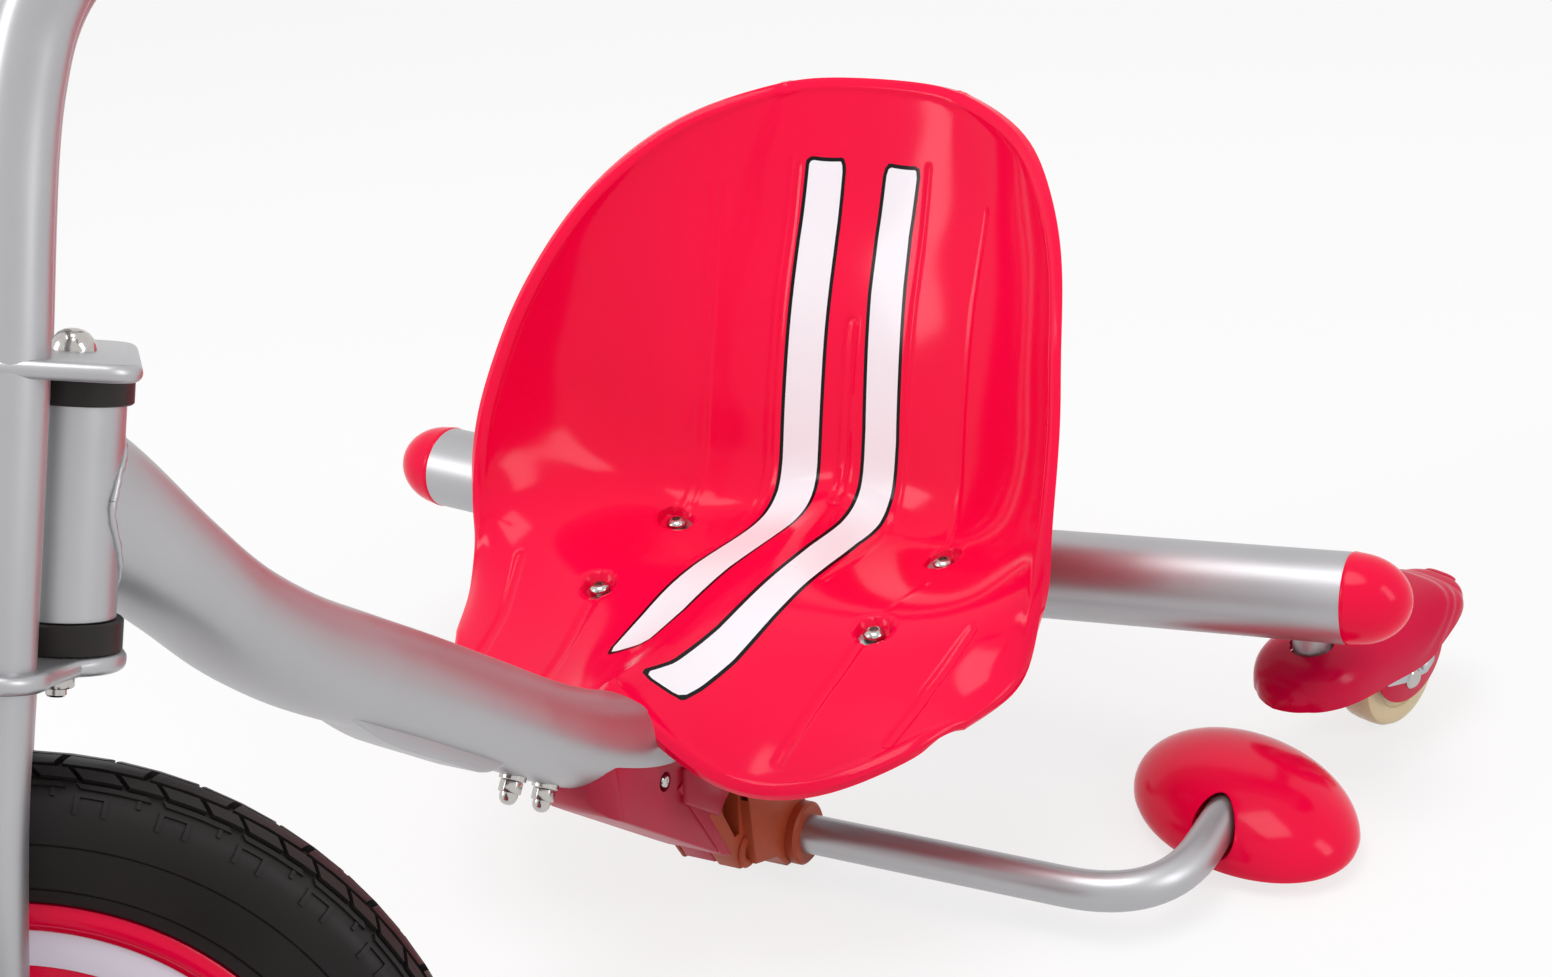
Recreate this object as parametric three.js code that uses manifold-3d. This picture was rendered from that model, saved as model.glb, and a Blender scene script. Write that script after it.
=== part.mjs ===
// Drift trike: bent-tube frame, bucket seat, driven front wheel, two swivel casters
// and a sprung bar with a drag shoe on the rider's left.
// Millimetres. +X is the rider's left, +Y is backward, +Z is up, and z = 0 is the floor.
import * as THREE from 'three';
import Module from 'manifold-3d';
import { mergeVertices } from 'three/addons/utils/BufferGeometryUtils.js';

const wasm = await Module();
wasm.setup();

// Driving dimensions

const gap = 0.3;
const overrun = 4;
const half = 0.5;
const turn = Math.PI * 2;
const quarter = Math.PI / 2;

// Place of the rear tube's centre line in the part's own frame
const originToRearTube = 345.64;
const rearTubeHeight = 123;

// Frame tubes
const frameTubeRadius = 25.4;
const frameTubeWall = 2;
const rearTubeHalf = 299;
const rearSweepBack = 21;
const rearSweepUp = 9.5;
const neckReach = 575;

// Caps at the rear tube's ends
const capDome = 34;
const capPlug = 22;
const capPlay = 0.9;

// Head tube, on the steering axis
// Its foot lies behind and below the main tube's end
const pivotBehindNeck = 25.6;
const pivotBelowNeck = 71.3;
const pivotBack = -neckReach - pivotBehindNeck;
const rakeDeg = 23.54;
const headRadius = 21.5;
const headWall = 4;
const headLow = 28.4;
const headLength = 79.6;
const cupRadius = 25.2;
const cupLow = 12;
const cupHigh = 9.3;
const kingpinRadius = 4;

// Steering
const steerDeg = -47;
const legHalfSpacing = 44;
const legForward = 21.5;
const legRadius = 14.3;
const legWall = 2;
const upperPlateThick = 6;
const lowerPlateThick = 6;
const upperPlateHalf = 52;
const upperPlateFront = 40;
const upperPlateBack = 25;
const upperPlateCorner = 13;
const lowerPlateBack = 25.5;
const legMargin = 6;
const riserHeight = 225;
const barRise = 175;
const barSpread = 231;
const barPull = 147;
const crossTubeRadius = 9.5;
const crossTubeHeight = 196;
const gripLength = 112;
const gripWall = 4;
const nutRadius = 6.8;
const nutHeight = 6;
const domeRadius = 6.9;
const washerRadius = 10.8;
const washerThick = 1.6;

// Front wheel
const wheelRadius = 200;
const wheelShoulder = 0.642;
const tyreToPivot = 20.39;
const wheelForward = 12;
const tyreHalfWidth = 25;
const tyreDepth = 52;
const treadDepth = 4;
const rimPlay = 0.5;
const rimRadius = wheelRadius - tyreDepth - rimPlay;
const rimHalfWidth = 17;
const rimLip = 9;
const rimStep = 1.2;
const discHalf = 5;
const hubHalf = 37;
const hubRadius = 24;
const axleRadius = 6;
const dropoutRadius = 15;
const dropoutThick = 10;
const dropoutRise = 27;
const dropoutHalf = 11;

// Cranks and pedals
const crankLength = 92;
const crankOffset = 60;
const crankThick = 10;
const crankBoss = 13;
const crankEye = 10;
const crankWidth = 15;
const crankPhaseDeg = 35;
const spindleRadius = 5;
const spindleLength = 96;
const pedalLength = 82;
const pedalWidth = 58;
const pedalHeight = 22;
const pedalStart = 6;

// Swivel casters
const casterInset = 33;
const casterSide = rearTubeHalf - casterInset;
const casterBack = 50;
const casterTurnDeg = 20;
const stemRadius = 10.8;
const stemBottom = 75;
const stemAboveTube = 3;
const stemTop = rearTubeHeight + stemAboveTube;
const casterPinRadius = 5;
const casterTrail = 66;
const casterWheelRadius = 33;
const casterWheelHalf = 12;
const casterWheelRound = 5;
const casterAxleRadius = 4;
const yokeInside = 14;
const yokePlate = 3;
const yokeTop = 70;
const yokeTopThick = 4;
const yokeArm = 11;
const fenderInside = 19.5;
const fenderWall = 3;
const fenderNose = 34;
const fenderTail = 114;
const fenderLow = 49;
const fenderHigh = 92;

// Seat
const seatHalfWidth = 180;
const seatLength = 353;
const seatRise = 264;
const seatThick = 4;
const seatRows = 20;
const seatCols = 8;
const seatFlat = 0.8;
const screwSide = 87;
const screwFrontShare = 0.36686;
const screwRearShare = 0.12351;
const screwFront = -seatLength * screwFrontShare;
const screwRear = -seatLength * screwRearShare;
const screwHeadRadius = 6;
const screwHeadHeight = 3.6;
const screwRadius = 3;
const screwTail = 7;
const dimpleRadius = 8.5;
const dimpleDepth = 1.6;
const strapHalfWidth = 14;
const strapHalfLength = 102;

// Strap and studs under the main tube
const gussetHalf = 12;
const gussetThick = 5;
const studFlange = 8.5;
const studFlangeThick = 2;
const studHex = 6.5;
const studHexHeight = 6;
const studDome = 5;
const studsBehindHousingFront = [-24.6, -1.9];

// Housing and sprung bar
const housingHalf = 23;
const housingReach = 93;
const housingPastTube = 20;
const housingRear = -210;
const housingSink = 7;
const tongueHalf = 10;
const pivotPinBack = -188;
const pivotPinHeight = 45;
const pivotPinRadius = 4;
const pivotPinEnd = 30;
const pivotEye = 10;
const carrierPlate = 14;
const carrierRise = 44;
const dragBarRadius = 11.1;
const dragBarWall = 2;
const dragBarBack = -142;
const dragBarHeight = 28;
const dragBarSide = 249;
const dragBarBend = 58;
const dragBarEnd = -38;
const bossRadius = 19;
const bossHalf = 40;
const barStub = 8;

// Shoe at the bar's end
const shoeSide = 249.3;
const shoeBack = -23;
const shoeHalfLength = 75.5;
const shoeHalfWidth = 51.5;
const shoeHeight = 38;
const shoeTurnDeg = 30;
const shoeClear = 7;
const shoeRimHeight = 7;
const padHalfLength = 24;
const padHalfWidth = 17;
const padHeight = 15;
const padDrop = 2;

const rearTubeBack = 0;
const rake = THREE.MathUtils.degToRad(rakeDeg);
const steer = THREE.MathUtils.degToRad(steerDeg);

// The tilted wheel stands on the floor, the head sits just over it, and the main tube rises to the head
const wheelLean = Math.sin(steer) * Math.sin(rake);
const wheelCentreHeight = wheelRadius * Math.sqrt(1 - wheelLean * wheelLean) + wheelShoulder;
const wheelDrop = wheelRadius + tyreToPivot;
const pivotHeight = wheelCentreHeight + wheelDrop * Math.cos(rake)
  - wheelForward * Math.cos(steer) * Math.sin(rake);
const neckRise = pivotHeight + pivotBelowNeck - rearTubeHeight;

// Materials

const silver = { color: 0xb9bbbf, roughness: 0.34, metalness: 0.85 };
const zinc = { color: 0xd6d6d2, roughness: 0.25, metalness: 0.95 };
const red = { color: 0xe0103a, roughness: 0.22, metalness: 0 };
const darkRed = { color: 0xb00f30, roughness: 0.35, metalness: 0 };
const orange = { color: 0xb5442a, roughness: 0.5, metalness: 0 };
const black = { color: 0x1b1717, roughness: 0.55, metalness: 0 };
const rubber = { color: 0x1c1c1e, roughness: 0.85, metalness: 0 };
const urethane = { color: 0xe6d6a2, roughness: 0.45, metalness: 0 };
const steel = { color: 0xa7abb0, roughness: 0.4, metalness: 0.9 };

const part = new THREE.Group();
part.name = 'drift_trike';
const frame = new THREE.Group();
frame.position.set(0, originToRearTube, 0);
part.add(frame);

const steering = new THREE.Group();
steering.position.set(0, pivotBack, pivotHeight);
steering.rotation.set(-rake, 0, steer, 'XYZ');
frame.add(steering);

const wheelGroup = new THREE.Group();
wheelGroup.position.set(0, -wheelForward, -wheelDrop);
steering.add(wheelGroup);

function place(parent, name, geometry, look) {
  const mesh = new THREE.Mesh(geometry, new THREE.MeshStandardMaterial(look));
  mesh.name = name;
  parent.add(mesh);
  return mesh;
}

// Solids

function signedVolume(geometry) {
  const p = geometry.attributes.position;
  const index = geometry.index.array;
  const a = new THREE.Vector3();
  const b = new THREE.Vector3();
  const c = new THREE.Vector3();
  let sum = 0;
  for (let i = 0; i < index.length; i += 3) {
    a.fromBufferAttribute(p, index[i]);
    b.fromBufferAttribute(p, index[i + 1]);
    c.fromBufferAttribute(p, index[i + 2]);
    sum += a.dot(b.cross(c));
  }
  return sum;
}

function solid(source) {
  const plain = source.clone();
  plain.deleteAttribute('normal');
  plain.deleteAttribute('uv');
  const g = mergeVertices(plain, 1e-3);
  const index = [];
  const old = g.index.array;
  for (let i = 0; i < old.length; i += 3) {
    const [a, b, c] = [old[i], old[i + 1], old[i + 2]];
    if (a !== b && b !== c && c !== a) index.push(a, b, c);
  }
  g.setIndex(index);
  if (signedVolume(g) < 0) {
    for (let i = 0; i < index.length; i += 3) {
      const swap = index[i + 1];
      index[i + 1] = index[i + 2];
      index[i + 2] = swap;
    }
    g.setIndex(index);
  }
  return new wasm.Manifold(new wasm.Mesh({
    numProp: 3,
    vertProperties: new Float32Array(g.attributes.position.array),
    triVerts: new Uint32Array(g.index.array),
  }));
}

function geometryOf(body) {
  const mesh = body.getMesh();
  const g = new THREE.BufferGeometry();
  g.setAttribute('position', new THREE.BufferAttribute(new Float32Array(mesh.vertProperties), 3));
  g.setIndex(new THREE.BufferAttribute(new Uint32Array(mesh.triVerts), 1));
  g.computeVertexNormals();
  return g;
}

// Upright cylinder between two heights
function post(radius, low, high, sides = 16) {
  const g = new THREE.CylinderGeometry(radius, radius, high - low, sides);
  g.rotateX(quarter);
  g.translate(0, 0, (low + high) * half);
  return g;
}

// Cylinder along X between two places
function rod(radius, from, to, sides = 16) {
  const g = new THREE.CylinderGeometry(radius, radius, to - from, sides);
  g.rotateZ(quarter);
  g.translate((from + to) * half, 0, 0);
  return g;
}

function block(x0, x1, y0, y1, z0, z1) {
  const g = new THREE.BoxGeometry(x1 - x0, y1 - y0, z1 - z0);
  g.translate((x0 + x1) * half, (y0 + y1) * half, (z0 + z1) * half);
  return g;
}

// Turned shape about Z from radius and height pairs
function turned(pairs, sides = 32) {
  const g = new THREE.LatheGeometry(pairs.map(([r, z]) => new THREE.Vector2(r, z)), sides);
  g.rotateX(quarter);
  return g;
}

function ring(outer, inner, low, high, sides = 32) {
  return turned([[inner, low], [outer, low], [outer, high], [inner, high], [inner, low]], sides);
}

function tubeSection(radius, wall) {
  const shape = new THREE.Shape();
  shape.absarc(0, 0, radius, 0, turn, false);
  if (wall) {
    const hole = new THREE.Path();
    hole.absarc(0, 0, radius - wall, 0, turn, true);
    shape.holes.push(hole);
  }
  return shape;
}

function sweep(path, radius, wall, steps, points = 10) {
  return new THREE.ExtrudeGeometry(tubeSection(radius, wall), {
    steps, extrudePath: path, bevelEnabled: false, curveSegments: points,
  });
}

// Straight runs joined by rounded corners
function bent(points, radius) {
  const path = new THREE.CurvePath();
  let from = points[0];
  for (let i = 1; i < points.length - 1; i += 1) {
    const before = points[i - 1].clone().sub(points[i]).normalize();
    const after = points[i + 1].clone().sub(points[i]).normalize();
    const enter = points[i].clone().addScaledVector(before, radius);
    const leave = points[i].clone().addScaledVector(after, radius);
    path.add(new THREE.LineCurve3(from, enter));
    path.add(new THREE.QuadraticBezierCurve3(enter, points[i].clone(), leave));
    from = leave;
  }
  path.add(new THREE.LineCurve3(from, points[points.length - 1]));
  return path;
}

// Side profile in the YZ plane, extruded from -halfWidth to halfWidth in X
function slab(points, from, to) {
  const shape = new THREE.Shape(points.map(([y, z]) => new THREE.Vector2(y, z)));
  const g = new THREE.ExtrudeGeometry(shape, { depth: to - from, bevelEnabled: false });
  g.rotateX(quarter);
  g.rotateZ(quarter);
  g.translate(from, 0, 0);
  return g;
}

function mirrored(body) {
  return body.mirror([1, 0, 0]);
}

// Main tube, from the head tube down and back to the rear tube

const neckSteps = 20;
const neckShares = [
  [1, 1], [0.974, 0.956], [0.918, 0.823], [0.873, 0.717], [0.821, 0.622], [0.762, 0.534],
  [0.699, 0.442], [0.622, 0.326], [0.546, 0.212], [0.487, 0.136], [0.417, 0.068],
  [0.348, 0.035], [0.261, 0.018], [0.104, 0.006], [0, 0.006],
];
const neckPoints = neckShares.map(([back, up]) => new THREE.Vector3(
  0, -back * neckReach, rearTubeHeight + up * neckRise,
));
const neckPath = new THREE.CatmullRomCurve3(neckPoints, false, 'centripetal');
const neckClear = solid(sweep(neckPath, frameTubeRadius + gap, 0, neckSteps, 8));

function headPlace(geometry) {
  geometry.rotateX(-rake);
  geometry.translate(0, pivotBack, pivotHeight);
  return geometry;
}
const headTop = headLow + headLength;
const headClear = solid(headPlace(post(headRadius + gap, -headLow, headTop + headLow, 24)));

const rearMiddle = new THREE.Vector3(0, rearTubeBack, rearTubeHeight);
const rearEnd = new THREE.Vector3(rearTubeHalf, rearTubeBack + rearSweepBack, rearTubeHeight + rearSweepUp);
const rearOther = rearEnd.clone();
rearOther.x = -rearTubeHalf;
const rearPath = bent([rearOther, rearMiddle, rearEnd], frameTubeRadius * 2);
const rearClear = solid(sweep(rearPath, frameTubeRadius + gap, 0, 8, 8));

place(frame, 'main_tube', geometryOf(
  solid(sweep(neckPath, frameTubeRadius, frameTubeWall, neckSteps, 8)).subtract(headClear).subtract(rearClear),
), silver);
place(frame, 'rear_tube', sweep(rearPath, frameTubeRadius, frameTubeWall, 8, 8), silver);
place(frame, 'head_tube', headPlace(
  ring(headRadius, headRadius - headWall, headLow, headTop, 24),
), silver);
place(frame, 'head_cup_lower', headPlace(
  ring(cupRadius, kingpinRadius + gap, headLow - gap - cupLow, headLow - gap, 20),
), black);
place(frame, 'head_cup_upper', headPlace(
  ring(cupRadius, kingpinRadius + gap, headTop + gap, headTop + gap + cupHigh, 20),
), black);

// Domed caps plugged into the rear tube's ends

function rearCap() {
  const profile = [[0, -capPlug], [frameTubeRadius - frameTubeWall - capPlay, -capPlug],
    [frameTubeRadius - frameTubeWall - capPlay, gap], [frameTubeRadius, gap]];
  const steps = 6;
  for (let i = 1; i <= steps; i += 1) {
    const a = quarter * i / steps;
    profile.push([i === steps ? 0 : frameTubeRadius * Math.cos(a), gap + capDome * Math.sin(a)]);
  }
  return turned(profile, 18);
}
function alongRearEnd(geometry) {
  const axis = rearEnd.clone().sub(rearMiddle).normalize();
  geometry.applyQuaternion(new THREE.Quaternion().setFromUnitVectors(new THREE.Vector3(0, 0, 1), axis));
  geometry.translate(rearEnd.x, rearEnd.y, rearEnd.z);
  return solid(geometry);
}
const capBody = alongRearEnd(rearCap());
place(frame, 'rear_cap_left', geometryOf(capBody), red);
place(frame, 'rear_cap_right', geometryOf(mirrored(capBody)), red);

// Caster stems, welded behind and under the rear tube

const stemBody = solid(post(stemRadius, stemBottom, stemTop, 18))
  .subtract(solid(post(casterPinRadius + gap, stemBottom - overrun, stemTop - overrun, 12)))
  .translate([casterSide, casterBack, 0])
  .subtract(rearClear);
place(frame, 'caster_stem_left', geometryOf(stemBody), silver);
place(frame, 'caster_stem_right', geometryOf(mirrored(stemBody)), silver);

// Strap under the neck, with two studs and domed nuts

const gussetFromShare = 0.29;
const gussetToShare = 0.47;
const gussetSteps = 14;
const lowerEdge = [];
const upperEdge = [];
for (let i = 0; i <= gussetSteps; i += 1) {
  const u = gussetFromShare + (gussetToShare - gussetFromShare) * i / gussetSteps;
  const p = neckPath.getPointAt(u);
  const t = neckPath.getTangentAt(u);
  const under = frameTubeRadius + gap + gussetThick;
  lowerEdge.push([p.y + t.z * under, p.z - t.y * under]);
  upperEdge.unshift([p.y + t.z * frameTubeRadius * half, p.z - t.y * frameTubeRadius * half]);
}
place(frame, 'neck_strap', geometryOf(
  solid(slab([...lowerEdge, ...upperEdge], -gussetHalf, gussetHalf)).subtract(neckClear),
), silver);

function domedNut() {
  const hexTop = studFlangeThick + studHexHeight;
  const flange = solid(post(studFlange, -frameTubeRadius * half, studFlangeThick, 14));
  const hex = solid(post(studHex, studFlangeThick - gap, hexTop, 6));
  const dome = new THREE.SphereGeometry(studDome, 10, 6);
  dome.translate(0, 0, hexTop);
  return flange.add(hex).add(solid(dome));
}
function neckShareAt(y) {
  let share = 0;
  const fine = 2000;
  for (let i = 0; i <= fine; i += 1) {
    if (neckPath.getPointAt(i / fine).y <= y) share = i / fine;
  }
  return share;
}
studsBehindHousingFront.map((back) => neckShareAt(housingRear - housingReach + back)).forEach((share, i) => {
  const p = neckPath.getPointAt(share);
  const t = neckPath.getTangentAt(share);
  const down = new THREE.Vector3(0, t.z, -t.y);
  const g = geometryOf(domedNut());
  g.applyQuaternion(new THREE.Quaternion().setFromUnitVectors(new THREE.Vector3(0, 0, 1), down));
  g.translate(0, p.y + down.y * frameTubeRadius, p.z + down.z * frameTubeRadius);
  place(frame, `neck_nut_${i + 1}`, geometryOf(solid(g).subtract(neckClear)), zinc);
});

// Seat: rows from the front lip to the top of the back
// Each row: centre y, centre z, rim x, rim y, rim z, dip of the thigh hollow

const seatShares = [
  [-0.728, 0.244, 0.889, -0.490, 0.064, 0.182],
  [-0.626, 0.222, 0.933, -0.434, 0.077, 0.129],
  [-0.507, 0.201, 0.975, -0.371, 0.104, 0.083],
  [-0.326, 0.189, 0.999, -0.313, 0.229, 0.030],
  [-0.170, 0.174, 1.000, -0.280, 0.345, 0.058],
  [-0.057, 0.163, 0.981, -0.243, 0.452, 0.062],
  [0.000, 0.189, 0.955, -0.199, 0.560, 0.022],
  [0.034, 0.292, 0.919, -0.141, 0.660, 0],
  [0.088, 0.477, 0.842, -0.026, 0.792, 0],
  [0.133, 0.595, 0.723, 0.074, 0.878, 0],
  [0.176, 0.693, 0.556, 0.163, 0.940, 0],
  [0.221, 0.833, 0.338, 0.238, 0.978, 0],
  [0.252, 0.936, 0.167, 0.266, 0.992, 0],
  [0.271, 0.998, 0.080, 0.271, 1.000, 0],
];
const seatCentre = new THREE.CatmullRomCurve3(seatShares.map(([y, z]) => new THREE.Vector3(0, y, z)));
const seatRim = new THREE.CatmullRomCurve3(seatShares.map(([, , x, y, z]) => new THREE.Vector3(x, y, z)));
function seatDip(v) {
  const at = v * (seatShares.length - 1);
  const low = Math.min(Math.floor(at), seatShares.length - 2);
  return THREE.MathUtils.lerp(seatShares[low][5], seatShares[low + 1][5], at - low);
}
function seatPoint(across, v) {
  const c = seatCentre.getPoint(v);
  const r = seatRim.getPoint(v);
  const u = Math.abs(across);
  const inner = (1 - u) * (1 - u);
  const middle = 2 * u * (1 - u);
  const outer = u * u;
  const bump = Math.sin(Math.PI * u ** seatFlat) ** 2;
  const x = (middle * seatFlat + outer) * r.x * Math.sign(across);
  const y = (inner + middle) * c.y + outer * r.y;
  const z = (inner + middle) * c.z + outer * r.z - bump * seatDip(v);
  return new THREE.Vector3(x * seatHalfWidth, rearTubeBack + y * seatLength, rearTubeHeight + z * seatRise);
}
function seatHeight(x, y) {
  let best = Infinity;
  let height = 0;
  const fine = 60;
  for (let j = 0; j <= fine; j += 1) {
    for (let i = 0; i <= fine; i += 1) {
      const p = seatPoint(i / fine, half * j / fine);
      const d = Math.hypot(p.x - Math.abs(x), p.y - y);
      if (d < best) {
        best = d;
        height = p.z;
      }
    }
  }
  return height;
}
function seatGeometry() {
  const wide = 2 * seatCols + 1;
  const top = [];
  for (let j = 0; j <= seatRows; j += 1) {
    for (let i = -seatCols; i <= seatCols; i += 1) top.push(seatPoint(i / seatCols, j / seatRows));
  }
  const under = top.map((p, k) => {
    const i = k % wide;
    const j = Math.floor(k / wide);
    const a = top[j * wide + Math.min(i + 1, wide - 1)].clone().sub(top[j * wide + Math.max(i - 1, 0)]);
    const b = top[Math.min(j + 1, seatRows) * wide + i].clone().sub(top[Math.max(j - 1, 0) * wide + i]);
    return p.clone().addScaledVector(a.cross(b).normalize(), -seatThick);
  });
  const index = [];
  const n = top.length;
  const quad = (a, b, c, d) => index.push(a, b, c, a, c, d);
  for (let j = 0; j < seatRows; j += 1) {
    for (let i = 0; i < wide - 1; i += 1) {
      const k = j * wide + i;
      quad(k, k + 1, k + wide + 1, k + wide);
      quad(n + k, n + k + wide, n + k + wide + 1, n + k + 1);
    }
    const left = j * wide + wide - 1;
    const right = j * wide;
    quad(left, n + left, n + left + wide, left + wide);
    quad(right, right + wide, n + right + wide, n + right);
  }
  for (let i = 0; i < wide - 1; i += 1) {
    const last = seatRows * wide + i;
    quad(i, n + i, n + i + 1, i + 1);
    quad(last, last + 1, n + last + 1, n + last);
  }
  const g = new THREE.BufferGeometry();
  g.setAttribute('position', new THREE.Float32BufferAttribute([...top, ...under].flatMap((p) => p.toArray()), 3));
  g.setIndex(index);
  return g;
}
const screwPlaces = [
  ['front_left', screwSide, screwFront], ['front_right', -screwSide, screwFront],
  ['rear_left', screwSide, screwRear], ['rear_right', -screwSide, screwRear],
].map(([name, x, y]) => {
  const surface = seatHeight(x, y);
  return { name, x, y, floor: surface - dimpleDepth, under: surface - seatThick };
});
let seatBody = solid(seatGeometry()).subtract(neckClear);
screwPlaces.forEach(({ x, y, floor, under }) => {
  seatBody = seatBody
    .subtract(solid(post(dimpleRadius, floor, floor + dimpleRadius * 2)).translate([x, y, 0]))
    .subtract(solid(post(screwRadius + gap, under - dimpleRadius, floor + overrun, 12)).translate([x, y, 0]));
});

// Straps that carry the seat across the main tube

function tubeTopAt(y) {
  let top = 0;
  const fine = 200;
  for (let i = 0; i <= fine; i += 1) {
    const p = neckPath.getPointAt(i / fine);
    if (Math.abs(p.y - y) < strapHalfWidth) top = Math.max(top, p.z + frameTubeRadius);
  }
  return top;
}
function strapBody(y, under) {
  const low = tubeTopAt(y) + gap;
  const high = under - gap * 2;
  const plate = solid(block(-strapHalfLength, strapHalfLength, y - strapHalfWidth, y + strapHalfWidth, low, high));
  return { plate, low };
}
const frontStrap = strapBody(screwFront, screwPlaces[0].under);
const rearStrap = strapBody(screwRear, screwPlaces[2].under);
const seatKeep = solid(seatGeometry()).translate([0, 0, -gap]);
const seatFill = seatKeep.add(solid(seatGeometry()).translate([0, 0, seatThick * half]));
[['seat_strap_front', frontStrap], ['seat_strap_rear', rearStrap]].forEach(([name, strap]) => {
  let body = strap.plate;
  screwPlaces.forEach(({ x, y }) => {
    body = body.subtract(solid(post(screwRadius + gap, strap.low - overrun, strap.low + seatRise, 12))
      .translate([x, y, 0]));
  });
  place(frame, name, geometryOf(body.subtract(seatFill).subtract(neckClear)), steel);
});
place(frame, 'seat', geometryOf(seatBody), red);
screwPlaces.forEach(({ name, x, y, floor }, i) => {
  const low = (i < 2 ? frontStrap : rearStrap).low - screwTail;
  const seat = floor + gap;
  const body = turned([
    [0, low], [screwRadius, low], [screwRadius, seat], [screwHeadRadius, seat],
    [screwHeadRadius, seat + screwHeadHeight * half], [screwHeadRadius * 0.7, seat + screwHeadHeight],
    [0, seat + screwHeadHeight],
  ], 10);
  body.translate(x, y, 0);
  place(frame, `seat_screw_${name}`, body, zinc);
});

// Red housing under the main tube, and its tongue that carries the pivot

const housingShares = [
  [1, 1.12], [1.02, 1], [0.88, 0.84], [0.10, 0], [0.02, 0.03], [0, 0.12],
];
const housingLow = pivotPinHeight + pivotEye;
const housingDrop = rearTubeHeight - housingLow + housingPastTube;
function neckHeight(y) {
  let best = neckPath.getPointAt(0);
  const fine = 300;
  for (let i = 0; i <= fine; i += 1) {
    const p = neckPath.getPointAt(i / fine);
    if (Math.abs(p.y - y) < Math.abs(best.y - y)) best = p;
  }
  return best.z;
}
const housingTop = 5;
const housingPoints = housingShares.map(([y, z]) => [
  housingRear - y * housingReach, housingLow + z * housingDrop,
]);
for (let i = 0; i <= housingTop; i += 1) {
  const y = housingRear - housingReach * i / housingTop;
  housingPoints.push([y, neckHeight(y) - housingSink]);
}
const tonguePoints = [
  [housingRear - pivotEye, housingLow + pivotEye], [housingRear - pivotEye, housingLow + pivotEye * 3],
  [pivotPinBack, pivotPinHeight + pivotEye], [pivotPinBack, pivotPinHeight - pivotEye],
];
function eyeAt(radius, from, to, y, z) {
  const g = rod(radius, from, to, 12);
  g.translate(0, y, z);
  return solid(g);
}
place(frame, 'bar_housing', geometryOf(
  solid(slab(housingPoints, -housingHalf, housingHalf))
    .add(solid(slab(tonguePoints, -tongueHalf, tongueHalf)))
    .add(eyeAt(pivotEye, -tongueHalf, tongueHalf, pivotPinBack, pivotPinHeight))
    .subtract(eyeAt(pivotPinRadius + gap, -housingHalf, housingHalf, pivotPinBack, pivotPinHeight))
    .subtract(neckClear),
), darkRed);

// Carrier, pivot pin and drag bar

const carrierIn = tongueHalf + gap;
const carrierOut = carrierIn + carrierPlate;
const carrierPoints = [
  [pivotPinBack - pivotEye * 1.5, pivotPinHeight - pivotEye * half],
  [pivotPinBack + pivotEye * half, pivotPinHeight - pivotEye * 1.6],
  [dragBarBack - bossRadius * half, dragBarHeight - bossRadius * 0.87],
  [dragBarBack + bossRadius * half, dragBarHeight + bossRadius * 0.87],
  [pivotPinBack + pivotEye * 2, pivotPinHeight + carrierRise * 0.66],
  [pivotPinBack + pivotEye * 0.4, pivotPinHeight + carrierRise],
  [pivotPinBack - pivotEye * 1.2, pivotPinHeight + carrierRise * 0.9],
];
const barHole = eyeAt(dragBarRadius + gap * 3, -bossHalf - overrun, bossHalf + overrun, dragBarBack, dragBarHeight);
const pinHole = eyeAt(pivotPinRadius + gap, -bossHalf, bossHalf, pivotPinBack, pivotPinHeight);
place(frame, 'bar_carrier', geometryOf(
  solid(slab(carrierPoints, carrierIn, carrierOut))
    .add(solid(slab(carrierPoints, -carrierOut, -carrierIn)))
    .add(eyeAt(bossRadius, -bossHalf, bossHalf, dragBarBack, dragBarHeight))
    .subtract(barHole)
    .subtract(pinHole),
), orange);
const pinBody = eyeAt(pivotPinRadius, -pivotPinEnd, pivotPinEnd, pivotPinBack, pivotPinHeight);
place(frame, 'bar_pivot_pin', geometryOf(pinBody), zinc);

const barCorner = new THREE.Vector3(dragBarSide, dragBarBack, dragBarHeight);
const barTip = new THREE.Vector3(dragBarSide, dragBarEnd, dragBarHeight);
const barStart = new THREE.Vector3(-bossHalf - barStub, dragBarBack, dragBarHeight);
const barPath = bent([barStart, barCorner, barTip], dragBarBend);
place(frame, 'drag_bar', sweep(barPath, dragBarRadius, dragBarWall, 18, 5), silver);

// Shoe: a dome on an oval base, with a pad let into its underside

function shoeBody() {
  const rounds = 20;
  const rows = 6;
  const profile = [[0, 0], [1, 0]];
  const rim = shoeRimHeight / shoeHeight;
  for (let i = 0; i <= rows; i += 1) {
    const a = quarter * i / rows;
    profile.push([i === rows ? 0 : Math.cos(a), rim + (1 - rim) * Math.sin(a)]);
  }
  const g = turned(profile, rounds);
  g.scale(shoeHalfLength, shoeHalfWidth, shoeHeight);
  g.rotateZ(-THREE.MathUtils.degToRad(shoeTurnDeg));
  g.translate(shoeSide, shoeBack, shoeClear);
  return solid(g);
}
const padTop = shoeClear + padHeight;
const padShape = (extra) => solid(block(
  shoeSide - padHalfLength - extra, shoeSide + padHalfLength + extra,
  shoeBack - padHalfWidth - extra, shoeBack + padHalfWidth + extra, shoeClear - padDrop, padTop + extra,
));
const barEndClear = solid(sweep(
  new THREE.LineCurve3(barCorner, new THREE.Vector3(barTip.x, barTip.y + gap, barTip.z)),
  dragBarRadius + gap * 3, 0, 1, 6,
));
const shoe = shoeBody().subtract(padShape(gap)).subtract(barEndClear);
place(frame, 'drag_shoe', geometryOf(shoe), red);
const pad = padShape(0).subtract(barEndClear);
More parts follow.
